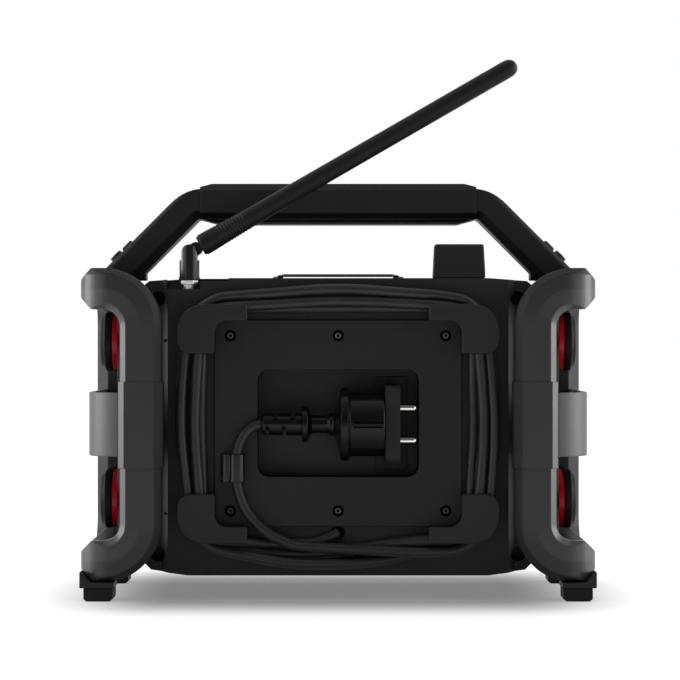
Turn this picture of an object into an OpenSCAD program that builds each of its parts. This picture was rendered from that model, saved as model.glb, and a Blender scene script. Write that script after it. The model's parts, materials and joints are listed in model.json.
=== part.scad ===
// Jobsite radio: a plastic body between two tubular side guards, with a carry handle,
// a jointed rod antenna, and a mains lead wound on hooks at the back.
// Millimetres. Front faces -Y, back faces +Y, +Z is up, Z = 0 is the ground.

/* [Body] */
// Distance of the body's sides inside the guards' outer faces
side_space = 36.4; // [35.5:0.1:38]
// Height of the body
body_h = 175.3; // [172:0.1:180]
// Height of the body's underside over the ground
body_base = 13.2; // [11:0.1:15]
// Depth from the middle split to the back face
back_d = 52; // [50:0.5:53]
// Depth from the middle split to the front face
front_d = 66; // [64:0.5:67]
// Wall of both housings
wall = 3; // [2.5:0.1:3.5]
// Thickness of the gasket between the housings
gasket_t = 1.5; // [1:0.1:2.5]
// Height of the raised back face over the recessed side margins
back_step = 6; // [4:0.5:7]
// Width of the recessed side margins beside the rear guard tubes
back_margin = 14.1; // [13:0.1:15]
// Distance of the housing screw wells from the body's sides
well_in = 8.2; // [7.5:0.1:9]
// Distance of the housing screw wells from the body's top and bottom
well_down = 12.2; // [11.5:0.1:14]
// Diameter of the housing screw wells
well_d = 8.8; // [8:0.1:9.5]

/* [Guards] */
// Overall width over the guards
overall_w = 302; // [300:1:306]
// Overall depth over the guards
overall_d = 160; // [158:1:164]
// Height of the guards from bottom rail to top rail
guard_h = 183; // [182:0.5:188]
// Height of the bottom rail over the ground
guard_base = 11; // [10.5:0.1:12]
// Width across the guard tube
tube = 24; // [23:0.1:24.5]
// Chamfer of the rails and front posts
rail_cut = 7; // [5:0.1:8]
// Chamfer of the rear posts across their width
post_cut = 3.5; // [2.5:0.1:5]
// Distance of the rear posts inside the rails' outer faces
post_in = 23.9; // [23:0.1:25]
// Centreline radius of the tube bends
bend_r = 22; // [20:0.5:23]
// Radius of the rear tubes' outer corners seen from above
corner_r = 21; // [10:0.5:22]
// Height of the sleeve on each rear post
sleeve_h = 50.5; // [44:0.5:56]
// Wall of the sleeve
sleeve_t = 0.9; // [0.6:0.1:1.2]
// Height of the side bands
band_h = 37.6; // [32:0.1:42]
// Thickness of the side bands
band_t = 3.5; // [3:0.1:4]
// Distance of the band inside the rails' outer faces
band_in = 3.5; // [3.2:0.1:4]
// Diameter of the band bolt's cap
band_bolt_d = 10.4; // [8:0.1:12]

/* [Feet] */
// Width of a rubber foot
foot_w = 17.1; // [15:0.1:18]
// Length of a rubber foot
foot_l = 26; // [22:0.5:27]
// Height of a rubber foot under its bracket
foot_h = 7.8; // [7:0.1:8.5]
// Width of the bracket that holds a foot
bracket_w = 20; // [19:0.1:21]
// Height of the bracket that holds a foot
bracket_h = 11.9; // [10:0.1:13]

/* [Handle] */
// Height of the handle bar's top face
bar_top = 243.2; // [240:0.1:250]
// Thickness of the handle bar and arms
bar_t = 13.8; // [12:0.1:15]
// Depth of the handle bar from front to back
bar_d = 40; // [36:0.5:42]
// Taper under the bar and arms
bar_under = 4.6; // [3:0.1:5.5]
// Distance of the rubber grip from the bar's corners
grip_end = 8.6; // [8:0.1:20]
// Rubber over the bar's top
grip_top = 2.7; // [1.5:0.1:3.5]
// Rubber under the bar's taper
grip_under = 3; // [2:0.1:4]
// Diameter of the handle bolts' heads
handle_bolt_d = 8; // [7:0.1:9]

/* [Back] */
// Distance of the service panel inside the body's sides
panel_in = 41.9; // [40:0.1:44]
// Height of the service panel
panel_h = 121.6; // [118:0.1:124]
// Thickness of the service panel
panel_t = 3; // [2.5:0.1:3.5]
// Width of the plug pocket
pocket_w = 94.6; // [93:0.1:98]
// Height of the plug pocket
pocket_h = 62.8; // [58:0.1:66]
// Depth of the plug pocket below the panel's face
pocket_d = 18.8; // [18.6:0.1:21]
// Distance of the panel screws inside the panel's edges
screw_in = 9.2; // [8:0.1:11]
// Length of a cord hook's arms across
hook_w = 41.4; // [38:0.1:44]
// Length of a cord hook's arms up
hook_h = 29.1; // [27:0.1:32]
// Width of a hook's upright arm
hook_arm_x = 22; // [20:0.1:23]
// Width of a hook's level arm
hook_arm_z = 9.9; // [9:0.1:11]
// Thickness of a cord hook's plate
hook_t = 4; // [3:0.1:5]
// Depth of the channel behind the hook plates
channel_d = 13.5; // [13.2:0.1:14]

/* [Cord and plug] */
// Diameter of the mains lead
cord_d = 6.5; // [6.3:0.1:6.7]
// Diameter of the plug's flange
flange_d = 43.2; // [42:0.1:43.6]
// Diameter of the plug's body
plug_d = 37.6; // [36:0.1:38.5]
// Diameter of a plug pin
pin_d = 4.8; // [4.7:0.1:4.8]
// Distance between the plug's pins
pin_pitch = 19; // [18.8:0.1:19.2]
// Length of a plug pin
pin_l = 19; // [18.5:0.1:19]
// Thickness of the wall that holds the plug
holder_t = 8.8; // [8:0.1:10]
// Height of the wall that holds the plug
holder_h = 45.5; // [43:0.1:50]

/* [Antenna] */
// Distance of the antenna inside the body's side
antenna_in = 26.5; // [25:0.1:28]
// Distance of the antenna behind the split
antenna_y = 42; // [41:0.1:43]
// Length of the antenna rod from its pivot to its tip
whip_l = 222; // [180:1:226]
// Diameter of the antenna rod
whip_d = 11; // [10:0.1:11.4]
// Diameter of the rod's lower sleeve
whip_sleeve_d = 13.2; // [12.4:0.1:13.6]
// Diameter of the swivel barrel
barrel_d = 11.9; // [11.5:0.1:12.5]
// Height of the antenna's pivot over the body's top
pivot_h = 15.3; // [15:0.1:17]
// Angle of the rod over the level in the rest position
rest_angle = 30; // [20:1:60]
// Clearance of the rod in its clip, each side
clip_gap = 0.4; // [0.3:0.05:0.8]
// Length of the antenna clip
clip_l = 31; // [25:0.5:36]
// Length of the wire bail across
bail_w = 67; // [60:1:74]
// Diameter of the bail's wire
bail_d = 1.8; // [1.6:0.1:2.2]

/* [Front] */
// Distance of the speakers inside the body's sides
speaker_in = 41.6; // [40.5:0.1:43]
// Height of the speakers over the ground
speaker_z = 78; // [76:0.5:80]
// Diameter of the speaker grilles
grille_d = 79; // [76:0.5:80]
// Diameter of the speaker openings
speaker_d = 70; // [66:0.5:72]
// Height of the display and the knobs over the ground
control_z = 157; // [156:0.5:158]
// Width of the display lens
lens_w = 88; // [80:1:92]
// Height of the display lens
lens_h = 36; // [32:0.5:38]
// Distance of the knobs inside the body's sides
knob_in = 36.6; // [33:0.1:38]
// Diameter of the knobs
knob_d = 32; // [28:0.5:34]
// Length of the knobs
knob_l = 12; // [10:0.5:12.5]
// Diameter of the knob shafts
shaft_d = 6; // [6:0.1:6.4]
// Distance of the push buttons below the display's middle
button_down = 33; // [31:0.5:34]
// Width of a push button
button_w = 12; // [10:0.5:13]
// Height of a push button
button_h = 7; // [6:0.5:8]
// Distance between push buttons
button_pitch = 16; // [15:0.5:17]
// Travel of the push buttons
travel = 1.2; // [0.8:0.1:1.5]
// Distance between the battery door and the speaker grilles
door_side = 2.5; // [2:0.1:4]
// Height of the battery door
door_h = 80; // [74:0.5:84]
// Height of the battery door's lower edge over the ground
door_z = 26; // [25:0.5:28]
// Thickness of the battery door
door_t = 3; // [2.5:0.1:3.5]
// Depth of the battery bay
bay_d = 54; // [45:1:58]
// Width of the port cover
port_w = 30; // [26:0.5:32]
// Height of the port cover
port_h = 11; // [9:0.5:11.5]

/* [Sides] */
// Length of a side radiator
radiator_l = 84; // [76:1:88]
// Height of a side radiator
radiator_h = 35; // [32:0.5:37]
// Half the distance between the two radiators of a side
radiator_off = 47; // [46:0.5:47.2]
// Distance that a side cover stands out of the body
cover_t = 16.4; // [15:0.1:17]
// Thickness of a radiator's red trim ring
ring_t = 3.5; // [2.5:0.1:4]
// Thickness of a radiator's cap
cap_t = 7; // [5:0.1:7.5]

/* [Hidden] */
$fn = 64;
e = 0.01;                       // overlap that keeps cuts clean
gap = 0.3;                      // clearance between pieces that move apart
run = 0.05;                     // radial clearance of a running fit
body_w = overall_w - 2 * side_space;
hw = body_w / 2;
body_top = body_base + body_h;
mid_z = guard_base + guard_h / 2;
back_plane = overall_d / 2 - sleeve_t;           // rear faces of the tubes, inside their sleeves
front_plane = -overall_d / 2;                   // front faces of the front posts
rail_x = overall_w / 2 - tube / 2;              // centre of the rails and front posts
rail_z = [guard_base + tube / 2, guard_base + guard_h - tube / 2];
post_x = overall_w / 2 - post_in - tube / 2;    // centre of the rear posts
post_y = back_plane - tube / 2;                 // centre of the rear posts along Y
front_y = front_plane + tube / 2;               // centre of the front posts along Y
post_depth_cut = 5;                             // chamfer of the rear posts along Y
band_x = overall_w / 2 - band_in;               // outer face of a side band
band_bolt_y = 10;
band_shank_d = 4.8;
band_r = 30;                                    // bend of a side band towards its sleeve
sleeve_x = post_x + tube / 2 + sleeve_t;
bracket_top = foot_h + bracket_h;
back_y = back_d - back_step;                    // recessed side margins
panel_y = back_d + panel_t;                     // face of the service panel
panel_z = mid_z + 0.5;
pocket_z = panel_z;
floor_y = panel_y - pocket_d;                   // floor of the plug pocket
pocket_wall = 2;
plug_z = mid_z;
plug_y = floor_y + 0.2 + flange_d / 2;          // axis of the plug, clear of the pocket floor
plug_face_x = -pocket_w / 2 + 0.8 + pin_l;      // face of the plug, pins end short of the pocket's wall
relief_x = 45.3;                                // where the lead enters its strain relief
collar_x = 21.2;
neck_x = 15.3;
flange_x = -1.1;
flange_t = 7.1;
panel_w = body_w - 2 * panel_in;
panel_hw = panel_w / 2;
screw_pitch = [panel_w - 2 * screw_in, panel_h - 2 * screw_in];
panel_hh = panel_h / 2;
plate_y = back_d + channel_d;                   // back of the hook plates
hook_x = panel_hw + hook_arm_x - 0.3;           // outer edge of the hooks
hook_z = panel_hh + hook_arm_z - 0.6;           // outer edge of the hooks over the panel's middle
neck_t = 3;                                     // wall that carries each hook plate
ring_x = panel_hw + neck_t + 0.6;               // inside of the lead's winding
ring_z = panel_hh + neck_t + 0.6;
bundle_x = hook_x + 1.1;                        // outside of the lead's winding
bundle_top = hook_z + 10.6;
bundle_low = hook_z + 14.6;
clip_x = 59.5;                                  // lead's clip on the panel
clip_z = 76.7;
clip_h = 16.5;
clip_y = panel_y + cord_d / 2 + 0.8;            // axis of the lead in its clip
antenna_x = hw - antenna_in;
antenna_z = body_top + pivot_h;
nest_z = body_top - 6.5;                        // floor of the antenna's recess
nest_w = 11.5;                                  // recess in front of the antenna
nest_in = 6.8;                                  // recess towards the middle
nest_out = 13.3;                                // recess towards the side
ledge_x = 64.5;
ledge_d = 1.8;
pan_t = 2.5;                                    // wall of the pan under the recess
nest_wall = body_top - wall - nest_z + pan_t;
jack_nut_d = 9.4;
fork_t = 4.2;                                   // tongue of the rod between the fork's ears
clip_block_x = 43.1 - hw;                       // centre of the antenna clip
rail_top = guard_base + guard_h;
arm_out = rail_top + overall_w / 2 - 10.2;      // X + Z along the outside of the arms
corner_x = arm_out - bar_top;
grip_l = 2 * (corner_x - grip_end);
arm_l = (bar_top - rail_top) * sqrt(2);         // length of an arm along its outside
toe_l = 11;                                     // reach of the handle's feet inside the rails
control_y = -front_d + wall;                    // inside of the front wall
speaker_x = hw - speaker_in;
knob_x = hw - knob_in;
button_z = control_z - button_down;
door_w = 2 * (speaker_x - grille_d / 2 - door_side);
door_y = -front_d - gap;                        // back of the battery door and port cover
door_axis = [door_y - door_t / 2, door_z + door_t / 2];
port_x = hw - 42.6;
port_z = body_base + 8.3;
port_t = 1.9;
port_hinge = 9;                                 // half the length of the cover's hinge barrel
port_axis = [door_y - port_t / 2, port_z + port_t / 2];
radiator_mid = mid_z + 1.5;
cover_front = 54;                               // side covers, from front to back
cover_back = 45;
cover_lean = 7.5;                               // slope of their front and back
cover_cut = 1.2;                                // slope of their top and bottom
magnet_d = 44;                                  // speakers
magnet_l = 14;
basket_l = 19;
dust_d = 28;
web = 10;                                       // body left between the windows in its sides
gland_z = panel_z - panel_hh - 3.7;             // lead's outlet
gland_d = 8.4;
board_y = control_y + 5;                        // front of the control board
board_h = 62;
board_side = 16;                                // board beyond the knobs' shafts, both sides
bush_d = 9;                                     // encoder bushes
jack_d = 3.6;
core_w = 40;                                    // transformer
core_h = 36;
core_d = 24;
can_d = 11;                                     // capacitors
can_l = 18;
door_floor = 1;                                 // door left behind its push button
door_pin = 1.6;                                 // hinge pin of the battery door
port_pin = 1;                                   // hinge pin of the port cover
bail_y = 30;                                    // axis of the wire bail
bail_z = body_top + 0.3;
bail_reach = 31;
bail_splay = 4.5;
bail_rise = 2.3;
bail_out = bail_w / 2 + bail_splay;             // arms' ends at the eyes

// the lead's free end, from the winding over the panel and its clip to the plug
TAIL = [[10, 61.9, 30], [22, 61.9, 31], [32, 61.7, 34], [41, 61.2, 38.5], [48.5, 60.5, 45],
        [54, 59.8, 52], [57.5, 59.3, 60], [59.3, 59, 68], [59.5, 59, 77], [59.5, 59, 85],
        [57.5, 58.7, 92.5], [53.5, 58.3, 98.5], [48.5, 58.1, 101.8], [43, 58, 102.5]];

// ---------- shared shapes ----------

// extrudes a shape drawn in X and Z from y0 to y1
module along_y(y0, y1) translate([0, y1, 0]) rotate([90, 0, 0]) linear_extrude(y1 - y0) children();

// extrudes a shape drawn in Y and Z from x0 to x1
module along_x(x0, x1) translate([x0, 0, 0]) rotate([90, 0, 90]) linear_extrude(x1 - x0) children();

// extrudes a shape drawn in X and Y from z0 to z1
module along_z(z0, z1) translate([0, 0, z0]) linear_extrude(z1 - z0) children();

// box from one corner to the other
module block(low, high) translate(low) cube(high - low);

// round bar along Y
module bar_y(x, z, d, y0, y1) translate([x, y1, z]) rotate([90, 0, 0]) cylinder(d = d, h = y1 - y0);

// round bar along X
module bar_x(y, z, d, x0, x1) translate([x0, y, z]) rotate([0, 90, 0]) cylinder(d = d, h = x1 - x0);

// both sides of the radio, the right one (+X) first
module both_sides() {
    children();
    mirror([1, 0, 0]) children();
}

module mirror_if(flag, axis) {
    if (flag) mirror(axis) children();
    else children();
}

// rectangle with round corners, centred
module round_rect(w, h, r) {
    square([w - 2 * r, h], center = true);
    square([w, h - 2 * r], center = true);
    for (x = [-1, 1], y = [-1, 1]) translate([x * (w / 2 - r), y * (h / 2 - r)]) circle(r);
}

// racetrack, centred, long across
module racetrack(l, h) {
    square([l - h, h], center = true);
    for (x = [-1, 1]) translate([x * (l - h) / 2, 0]) circle(d = h);
}

// rectangle with cut corners, centred
module cut_rect(w, h, cx, cy) polygon([
    for (s = [[1, 1], [-1, 1], [-1, -1], [1, -1]])
        let (a = [s[0] * w / 2, s[1] * (h / 2 - cy)], b = [s[0] * (w / 2 - cx), s[1] * h / 2])
            each (s[0] * s[1] > 0 ? [a, b] : [b, a])]);

function arc(cx, cy, r, a0, a1, n) =
    [for (i = [0:n]) let (a = a0 + (a1 - a0) * i / n) [cx + r * cos(a), cy + r * sin(a)]];

// ---------- housings ----------

// the body seen from the front, drawn in by a margin
module body_outline(m = 0) {
    w = hw - m;
    top = body_top - m;
    low = body_base + m;
    slope = 26;
    polygon([[-w, low + 7], [-w + 4, low + 3], [-w + slope, low], [w - slope, low], [w - 4, low + 3],
             [w, low + 7], [w, top - 4], [w - 3, top - 1.6], [w - slope, top], [-w + slope, top],
             [-w + 3, top - 1.6], [-w, top - 4]]);
}

// wells and bosses of the four housing screws
module at_wells() for (x = [-1, 1], z = [body_base + well_down, body_top - well_down])
    translate([x * (hw - well_in), 0, z]) children();

// holes in the body's sides behind the radiators, with a web left at the gasket
module side_windows() for (s = [-1, 1]) difference() {
    translate([0, 0, radiator_mid + s * radiator_off]) along_x(-hw - 1, hw + 1)
        racetrack(radiator_l - 12, radiator_h - 12);
    block([-hw - 2, -web / 2, body_base], [hw + 2, web / 2, body_top]);
}

module rear_housing() color("#222222") {
    well_floor = 20;
    difference() {
        union() {
            difference() {
                union() {
                    along_y(gasket_t / 2, back_y) body_outline();
                    // raised back face with sloping sides
                    intersection() {
                        along_z(body_base, body_top)
                            polygon([[-hw + back_margin - 4, back_y - e], [-hw + back_margin, back_d],
                                     [hw - back_margin, back_d], [hw - back_margin + 4, back_y - e]]);
                        along_y(back_y - 1, back_d) body_outline();
                    }
                }
                along_y(gasket_t / 2 - e, back_y - wall) body_outline(wall);
            }
            // screw bosses
            intersection() {
                at_wells() bar_y(0, 0, well_d + 6, gasket_t / 2, back_y - wall);
                along_y(0, back_d) body_outline(1);
            }
            // closed pan under the antenna's recess
            translate([antenna_x, antenna_y, nest_z - pan_t]) {
                back = back_y - antenna_y - 1;
                block([-nest_in - pan_t, -nest_w - pan_t, 0], [nest_out + pan_t, back, pan_t]);
                block([-nest_in - pan_t, -nest_w - pan_t, 0], [-nest_in, back, nest_wall]);
                block([-nest_in - pan_t, -nest_w - pan_t, 0], [nest_out + pan_t, -nest_w, nest_wall]);
                block([nest_out, -nest_w - pan_t, 0], [nest_out + pan_t, back, nest_wall]);
            }
        }
        at_wells() {
            bar_y(0, 0, well_d, well_floor, back_d + 1);
            bar_y(0, 0, 3.8, -1, well_floor + 1);
        }
        // antenna's recess and its hole
        block([antenna_x - nest_in, antenna_y - nest_w, nest_z],
              [antenna_x + nest_out, back_d + 1, body_top + 1]);
        block([ledge_x, antenna_y - nest_w, body_top - ledge_d], [antenna_x, back_d + 1, body_top + 1]);
        both_sides() block([bail_out - 5.6, bail_y - 15, bail_z - 2], [bail_out + 1.5, bail_y + 3.2, body_top + 1]);
        translate([antenna_x, antenna_y, nest_z - 4]) cylinder(d = 6.6, h = 6);
        translate([antenna_x, antenna_y, nest_z - 12]) cylinder(d = jack_nut_d + 1.6, h = 12 - pan_t);
        // opening behind the plug pocket, its screws and the lead's outlet
        along_y(back_y - wall - 1, back_d + 1) translate([0, pocket_z])
            round_rect(pocket_w + 2 * pocket_wall + 2 * gap, pocket_h + 2 * pocket_wall + 2 * gap, 6.5);
        at_panel_screws() bar_y(0, 0, 2.8, back_y - wall - 1, back_d + 1);
        bar_y(0, gland_z, gland_d, back_y - wall - 1, back_d + 1);
        for (s = [-1, 1]) bar_y(hw - back_margin + 1.2, mid_z - 1.8 + s * 51, 1.8, back_y - 6, back_d + 1);
        side_windows();
    }
}

module at_panel_screws() for (x = [-1, 0, 1], z = [-1, 1])
    translate([x * screw_pitch[0] / 2, 0, panel_z + z * screw_pitch[1] / 2]) children();

module front_housing() color("#222222") {
    face = -front_d;
    edge = 5;
    difference() {
        union() {
            difference() {
                intersection() {
                    along_y(face, -gasket_t / 2) body_outline();
                    along_z(body_base, body_top) polygon([[-hw + edge, face], [hw - edge, face],
                        [hw, face + edge], [hw, 0], [-hw, 0], [-hw, face + edge]]);
                    along_x(-hw, hw) polygon([[face, body_base + edge], [face + edge, body_base], [0, body_base],
                        [0, body_top], [face + edge, body_top], [face, body_top - edge]]);
                }
                along_y(face + wall, e) body_outline(wall + 1);
                along_y(face + wall + edge, e) body_outline(wall);
            }
            // screw bosses and the posts of the control board
            intersection() {
                at_wells() bar_y(0, 0, well_d + 6, -26, -gasket_t / 2);
                along_y(-30, 0) body_outline(1);
            }
            at_board_posts() bar_y(0, 0, 6, control_y - e, board_y);
            hinge_lugs(0, door_w / 2 - 6, door_axis, door_t, door_pin);
            hinge_lugs(port_x, port_hinge, port_axis, port_t, port_pin);
        }
        at_wells() bar_y(0, 0, 3.8, -22, 1);
        for (s = [-1, 1]) {
            bar_y(s * speaker_x, speaker_z, speaker_d, face - 1, control_y + 1);
            bar_y(s * knob_x, control_z, bush_d + 2 * gap, face - 1, control_y + 1);
        }
        along_y(face - 1, control_y + 1) {
            translate([0, control_z]) round_rect(lens_w - 8, lens_h - 8, 2);
            for (i = [-2:2]) translate([i * button_pitch, button_z])
                round_rect(button_w + 2 * gap, button_h + 2 * gap, 1.5);
            translate([0, door_z + door_h / 2]) square([door_w - 6, door_h - 8], center = true);
            translate([port_x, port_z + port_h / 2]) square([port_w - 6, port_h - 4], center = true);
        }
        side_windows();
    }
}

// lugs on both sides of a hinge barrel, with the pins that carry it
module hinge_lugs(x, half_w, axis, d, pin) translate([x, 0, 0]) both_sides() {
    along_x(half_w + gap, half_w + gap + 3) {
        translate(axis) circle(d = d);
        translate([axis[0], axis[1] - d / 2]) square([-front_d - axis[0] + e, d]);
    }
    bar_x(axis[0], axis[1], pin, half_w - 3, half_w + gap + e);
}

module at_board_posts() for (x = [-1, 1], z = [control_z + 20, button_z - 6])
    translate([x * 54, 0, z]) children();

module housing_gasket() color("#111111") difference() {
    along_y(-gasket_t / 2, gasket_t / 2) body_outline(0.4);
    along_y(-gasket_t, gasket_t) body_outline(wall);
    at_wells() bar_y(0, 0, 3.8, -5, 5);
}

module housing_screws() color("#8a8a8a") at_wells() {
    bar_y(0, 0, 3.6, -20, 20 + e);
    difference() {
        bar_y(0, 0, 7, 20, 23);
        along_y(21.5, 24) for (a = [0, 60, 120]) rotate(a) square([4, 1.1], center = true);
    }
}

// ---------- back: panel, hooks, cord ----------

module service_panel() color("#242424") {
    tray_w = pocket_w + 2 * pocket_wall;
    tray_h = pocket_h + 2 * pocket_wall;
    difference() {
        union() {
            along_y(back_d, panel_y) translate([0, panel_z]) round_rect(panel_w, panel_h, 7.6);
            along_y(floor_y - pocket_wall, back_d + e) translate([0, pocket_z])
                round_rect(tray_w, tray_h, 6.5 + pocket_wall);
        }
        along_y(floor_y, panel_y + 1) translate([0, pocket_z]) round_rect(pocket_w, pocket_h, 6.5);
        at_panel_screws() {
            bar_y(0, 0, 6.5, panel_y - 1.6, panel_y + 1);
            bar_y(0, 0, 2.8, back_d - 1, panel_y + 1);
        }
    }
}

module panel_screws() color("#6a6a6a") at_panel_screws() {
    bar_y(0, 0, 2.6, back_y - wall, panel_y - 1.6 + e);
    difference() {
        bar_y(0, 0, 4.2, panel_y - 1.6, panel_y - 0.3);
        along_y(panel_y - 1, panel_y) for (a = [0, 60, 120]) rotate(a) square([2.4, 0.6], center = true);
    }
}

module plug_holder() color("#202020") {
    front_x = plug_face_x - 0.1;
    difference() {
        union() {
            along_y(floor_y, floor_y + 2) translate([front_x - holder_t / 2 + 0.4, plug_z])
                square([holder_t + 10, holder_h + 10], center = true);
            intersection() {
                along_y(floor_y, plug_y + 12) translate([front_x - holder_t / 2, plug_z])
                    square([holder_t, holder_h], center = true);
                along_x(front_x - holder_t, front_x) translate([plug_y - 6, plug_z])
                    round_rect(36, holder_h, 5);
            }
        }
        for (s = [-1, 1]) bar_x(plug_y, plug_z + s * pin_pitch / 2, pin_d + 0.2, front_x - holder_t - 1, front_x + 1);
    }
}

// corner of a hook, drawn in X and Z over the panel's middle
module hook_corner(x, z, r) {
    translate([-1, -1]) square([x - r + 1, z + 1]);
    translate([-1, -1]) square([x + 1, z - r + 1]);
    translate([x - r, z - r]) circle(r);
}

module hook_pair(up) color("#232323") both_sides() translate([0, 0, panel_z]) mirror_if(!up, [0, 0, 1]) {
    along_y(plate_y, plate_y + hook_t) difference() {
        intersection() {
            hook_corner(hook_x, hook_z, 16.3);
            union() {
                translate([hook_x - hook_w, hook_z - hook_h + 8]) square([hook_w, hook_h]);
                translate([hook_x - hook_arm_x, hook_z - hook_h]) square([hook_arm_x - 8, hook_h]);
                translate([hook_x - 8, hook_z - hook_h + 8]) circle(8);
            }
        }
        hook_corner(hook_x - hook_arm_x, hook_z - hook_arm_z, 7.6);
    }
    along_y(back_d, plate_y + e) intersection() {
        difference() {
            hook_corner(panel_hw + 0.3 + neck_t, panel_hh + 0.3 + neck_t, 8 + neck_t);
            hook_corner(panel_hw + 0.3, panel_hh + 0.3, 8);
        }
        translate([hook_x - hook_w, hook_z - hook_h]) square([hook_w, hook_h]);
    }
}

module upper_hooks() hook_pair(true);
module lower_hooks() hook_pair(false);

module cord_clip() color("#262626") difference() {
    along_z(clip_z - clip_h / 2, clip_z + clip_h / 2) difference() {
        union() {
            translate([clip_x, clip_y]) circle(d = cord_d + 4);
            translate([clip_x + 6, panel_y + 3.2]) circle(r = 3.2);
            translate([clip_x - 4.5, panel_y]) square([13.7, 2.2]);
        }
        translate([clip_x, clip_y]) circle(d = cord_d + 0.2);
        translate([clip_x - 8, panel_y - 3]) square([20, 3]);
        translate([clip_x - 9, clip_y - 1.2]) square([9, 2.6]);
    }
}

module cord_gland() color("#1b1b1b") difference() {
    union() {
        bar_y(0, gland_z, gland_d - 0.2, back_y - wall, back_d);
        bar_y(0, gland_z, gland_d + 3, back_y - wall - 2, back_y - wall);
        bar_y(0, gland_z, 7.4, back_d - e, back_d + 1.2);
    }
    bar_y(0, gland_z, cord_d - 0.3, back_d - 3, back_d + 2);
}

// outside of the winding: a rounded box whose runs bow outwards between the hooks
function bundle_outline(n) = let (h = (bundle_top + bundle_low) / 2, z = panel_z + (bundle_top - bundle_low) / 2)
    [for (i = [0:n - 1]) let (a = 360 * i / n, c = cos(a), s = sin(a), p = 2 / 3.6)
        [bundle_x * sign(c) * pow(abs(c), p), z + h * sign(s) * pow(abs(s), p)]];

module cord_winding() color("#1c1c1c") along_y(back_d + 0.2, back_d + 0.2 + 2 * cord_d) difference() {
    polygon(bundle_outline(96));
    translate([0, panel_z]) round_rect(2 * ring_x, 2 * ring_z, 8 + neck_t);
}

// tube of n sides swept through the route's points
function unit(v) = v / norm(v);
function heading(p, i) = unit(p[min(i + 1, len(p) - 1)] - p[max(i - 1, 0)]);
module tube_through(p, r, n) {
    rings = [for (i = [0:len(p) - 1])
        let (t = heading(p, i), u = unit(cross(t, [0, 1, 0])), v = cross(u, t))
            for (k = [0:n - 1]) p[i] + r * (cos(360 * k / n) * u + sin(360 * k / n) * v)];
    sides = [for (i = [0:len(p) - 2], k = [0:n - 1])
        let (a = i * n + k, b = i * n + (k + 1) % n) each [[a, b, b + n], [a, b + n, a + n]]];
    last = (len(p) - 1) * n;
    polyhedron(rings, concat(sides, [[for (k = [n - 1:-1:0]) k], [for (k = [0:n - 1]) last + k]]));
}

module cord_tail() color("#1c1c1c") tube_through(TAIL, cord_d / 2, 10);

// turns a profile of [distance towards the pins, radius] about the plug's axis
module plug_turn(profile) translate([0, plug_y, plug_z]) rotate([0, -90, 0])
    rotate_extrude() polygon([for (p = profile) [p[1], p[0]]]);

module plug_relief() color("#1d1d1d") difference() {
    plug_turn([[-relief_x, 0], [-relief_x, 5.2], [-relief_x + 1.5, 6.4], [-collar_x, 6.75], [-collar_x, 0]]);
    translate([relief_x, plug_y, plug_z]) rotate([0, -90, 0]) translate([0, 0, -1]) cylinder(d = cord_d, h = 4);
    difference() {
        for (i = [0:3]) translate([relief_x - 3.9 - 4.87 * i, plug_y, plug_z + (i % 2 == 0 ? -4.9 : 4.9)])
            cube([1.8, 16, 8], center = true);
        bar_x(plug_y, plug_z, cord_d + 0.4, collar_x - 1, relief_x);
    }
}

module plug_body() color("#1d1d1d") difference() {
    plug_turn([[-collar_x, 0], [-collar_x, 10.2], [-collar_x + 1, 10.5], [-collar_x + 3, 10.5],
               [-neck_x - 1.5, 8], [-neck_x, 5.3], [-flange_x - 7.6, 5.3], [-flange_x - 6.3, 6.4],
               [-flange_x - 3.7, 6.8], [-flange_x - 2.4, 8.6], [-flange_x - 0.6, 17],
               [-flange_x + 0.5, flange_d / 2 - 1], [-flange_x + 1.6, flange_d / 2],
               [-flange_x + flange_t - 3, flange_d / 2], [-flange_x + flange_t - 2, flange_d / 2 - 0.8],
               [-flange_x + flange_t, plug_d / 2], [-plug_face_x - 1, plug_d / 2],
               [-plug_face_x, plug_d / 2 - 1], [-plug_face_x, 0]]);
    for (s = [-1, 1]) translate([0, 0, s * 1.2]) block([plug_face_x - 1, plug_y + plug_d / 2 - 2, plug_z - 0.35],
        [flange_x - flange_t + e, plug_y + plug_d / 2 + 1, plug_z + 0.35]);
}

module plug_pins() color("silver") for (s = [-1, 1])
    translate([plug_face_x, plug_y, plug_z + s * pin_pitch / 2]) rotate([0, -90, 0]) {
        cylinder(d = pin_d, h = pin_l - pin_d / 2);
        translate([0, 0, pin_l - pin_d / 2]) sphere(d = pin_d);
    }

// ---------- guards ----------

module rail_shape() cut_rect(tube, tube, rail_cut, rail_cut);
module post_shape(g = 0) cut_rect(tube + 2 * g, tube + 2 * g, post_cut, post_depth_cut);

// C-shaped rear tube: upright post, two bends outwards and the two corners of the rails
module rear_guard(right) color("#333333") mirror_if(!right, [1, 0, 0]) {
    bend_x = post_x + bend_r;
    translate([post_x, post_y, rail_z[0] + bend_r])
        linear_extrude(rail_z[1] - rail_z[0] - 2 * bend_r) post_shape();
    for (s = [0, 1]) intersection() {
        union() {
            translate([bend_x, post_y, rail_z[s] + (s == 0 ? bend_r : -bend_r)]) mirror_if(s == 1, [0, 0, 1])
                rotate([90, 0, 0]) rotate([0, 0, 180]) rotate_extrude(angle = 90) translate([bend_r, 0])
                    post_shape();
            intersection() {
                translate([rail_x, 0, rail_z[s]]) along_y(back_plane - tube, back_plane) rail_shape();
                translate([0, post_y, rail_z[s]]) along_x(rail_x - tube / 2, rail_x + tube / 2) post_side();
            }
        }
        along_z(guard_base - 1, rail_top + 1) corner_plan();
    }
}

// end of a rail seen from the side
module post_side() cut_rect(tube, tube, post_depth_cut, post_cut);

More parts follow.
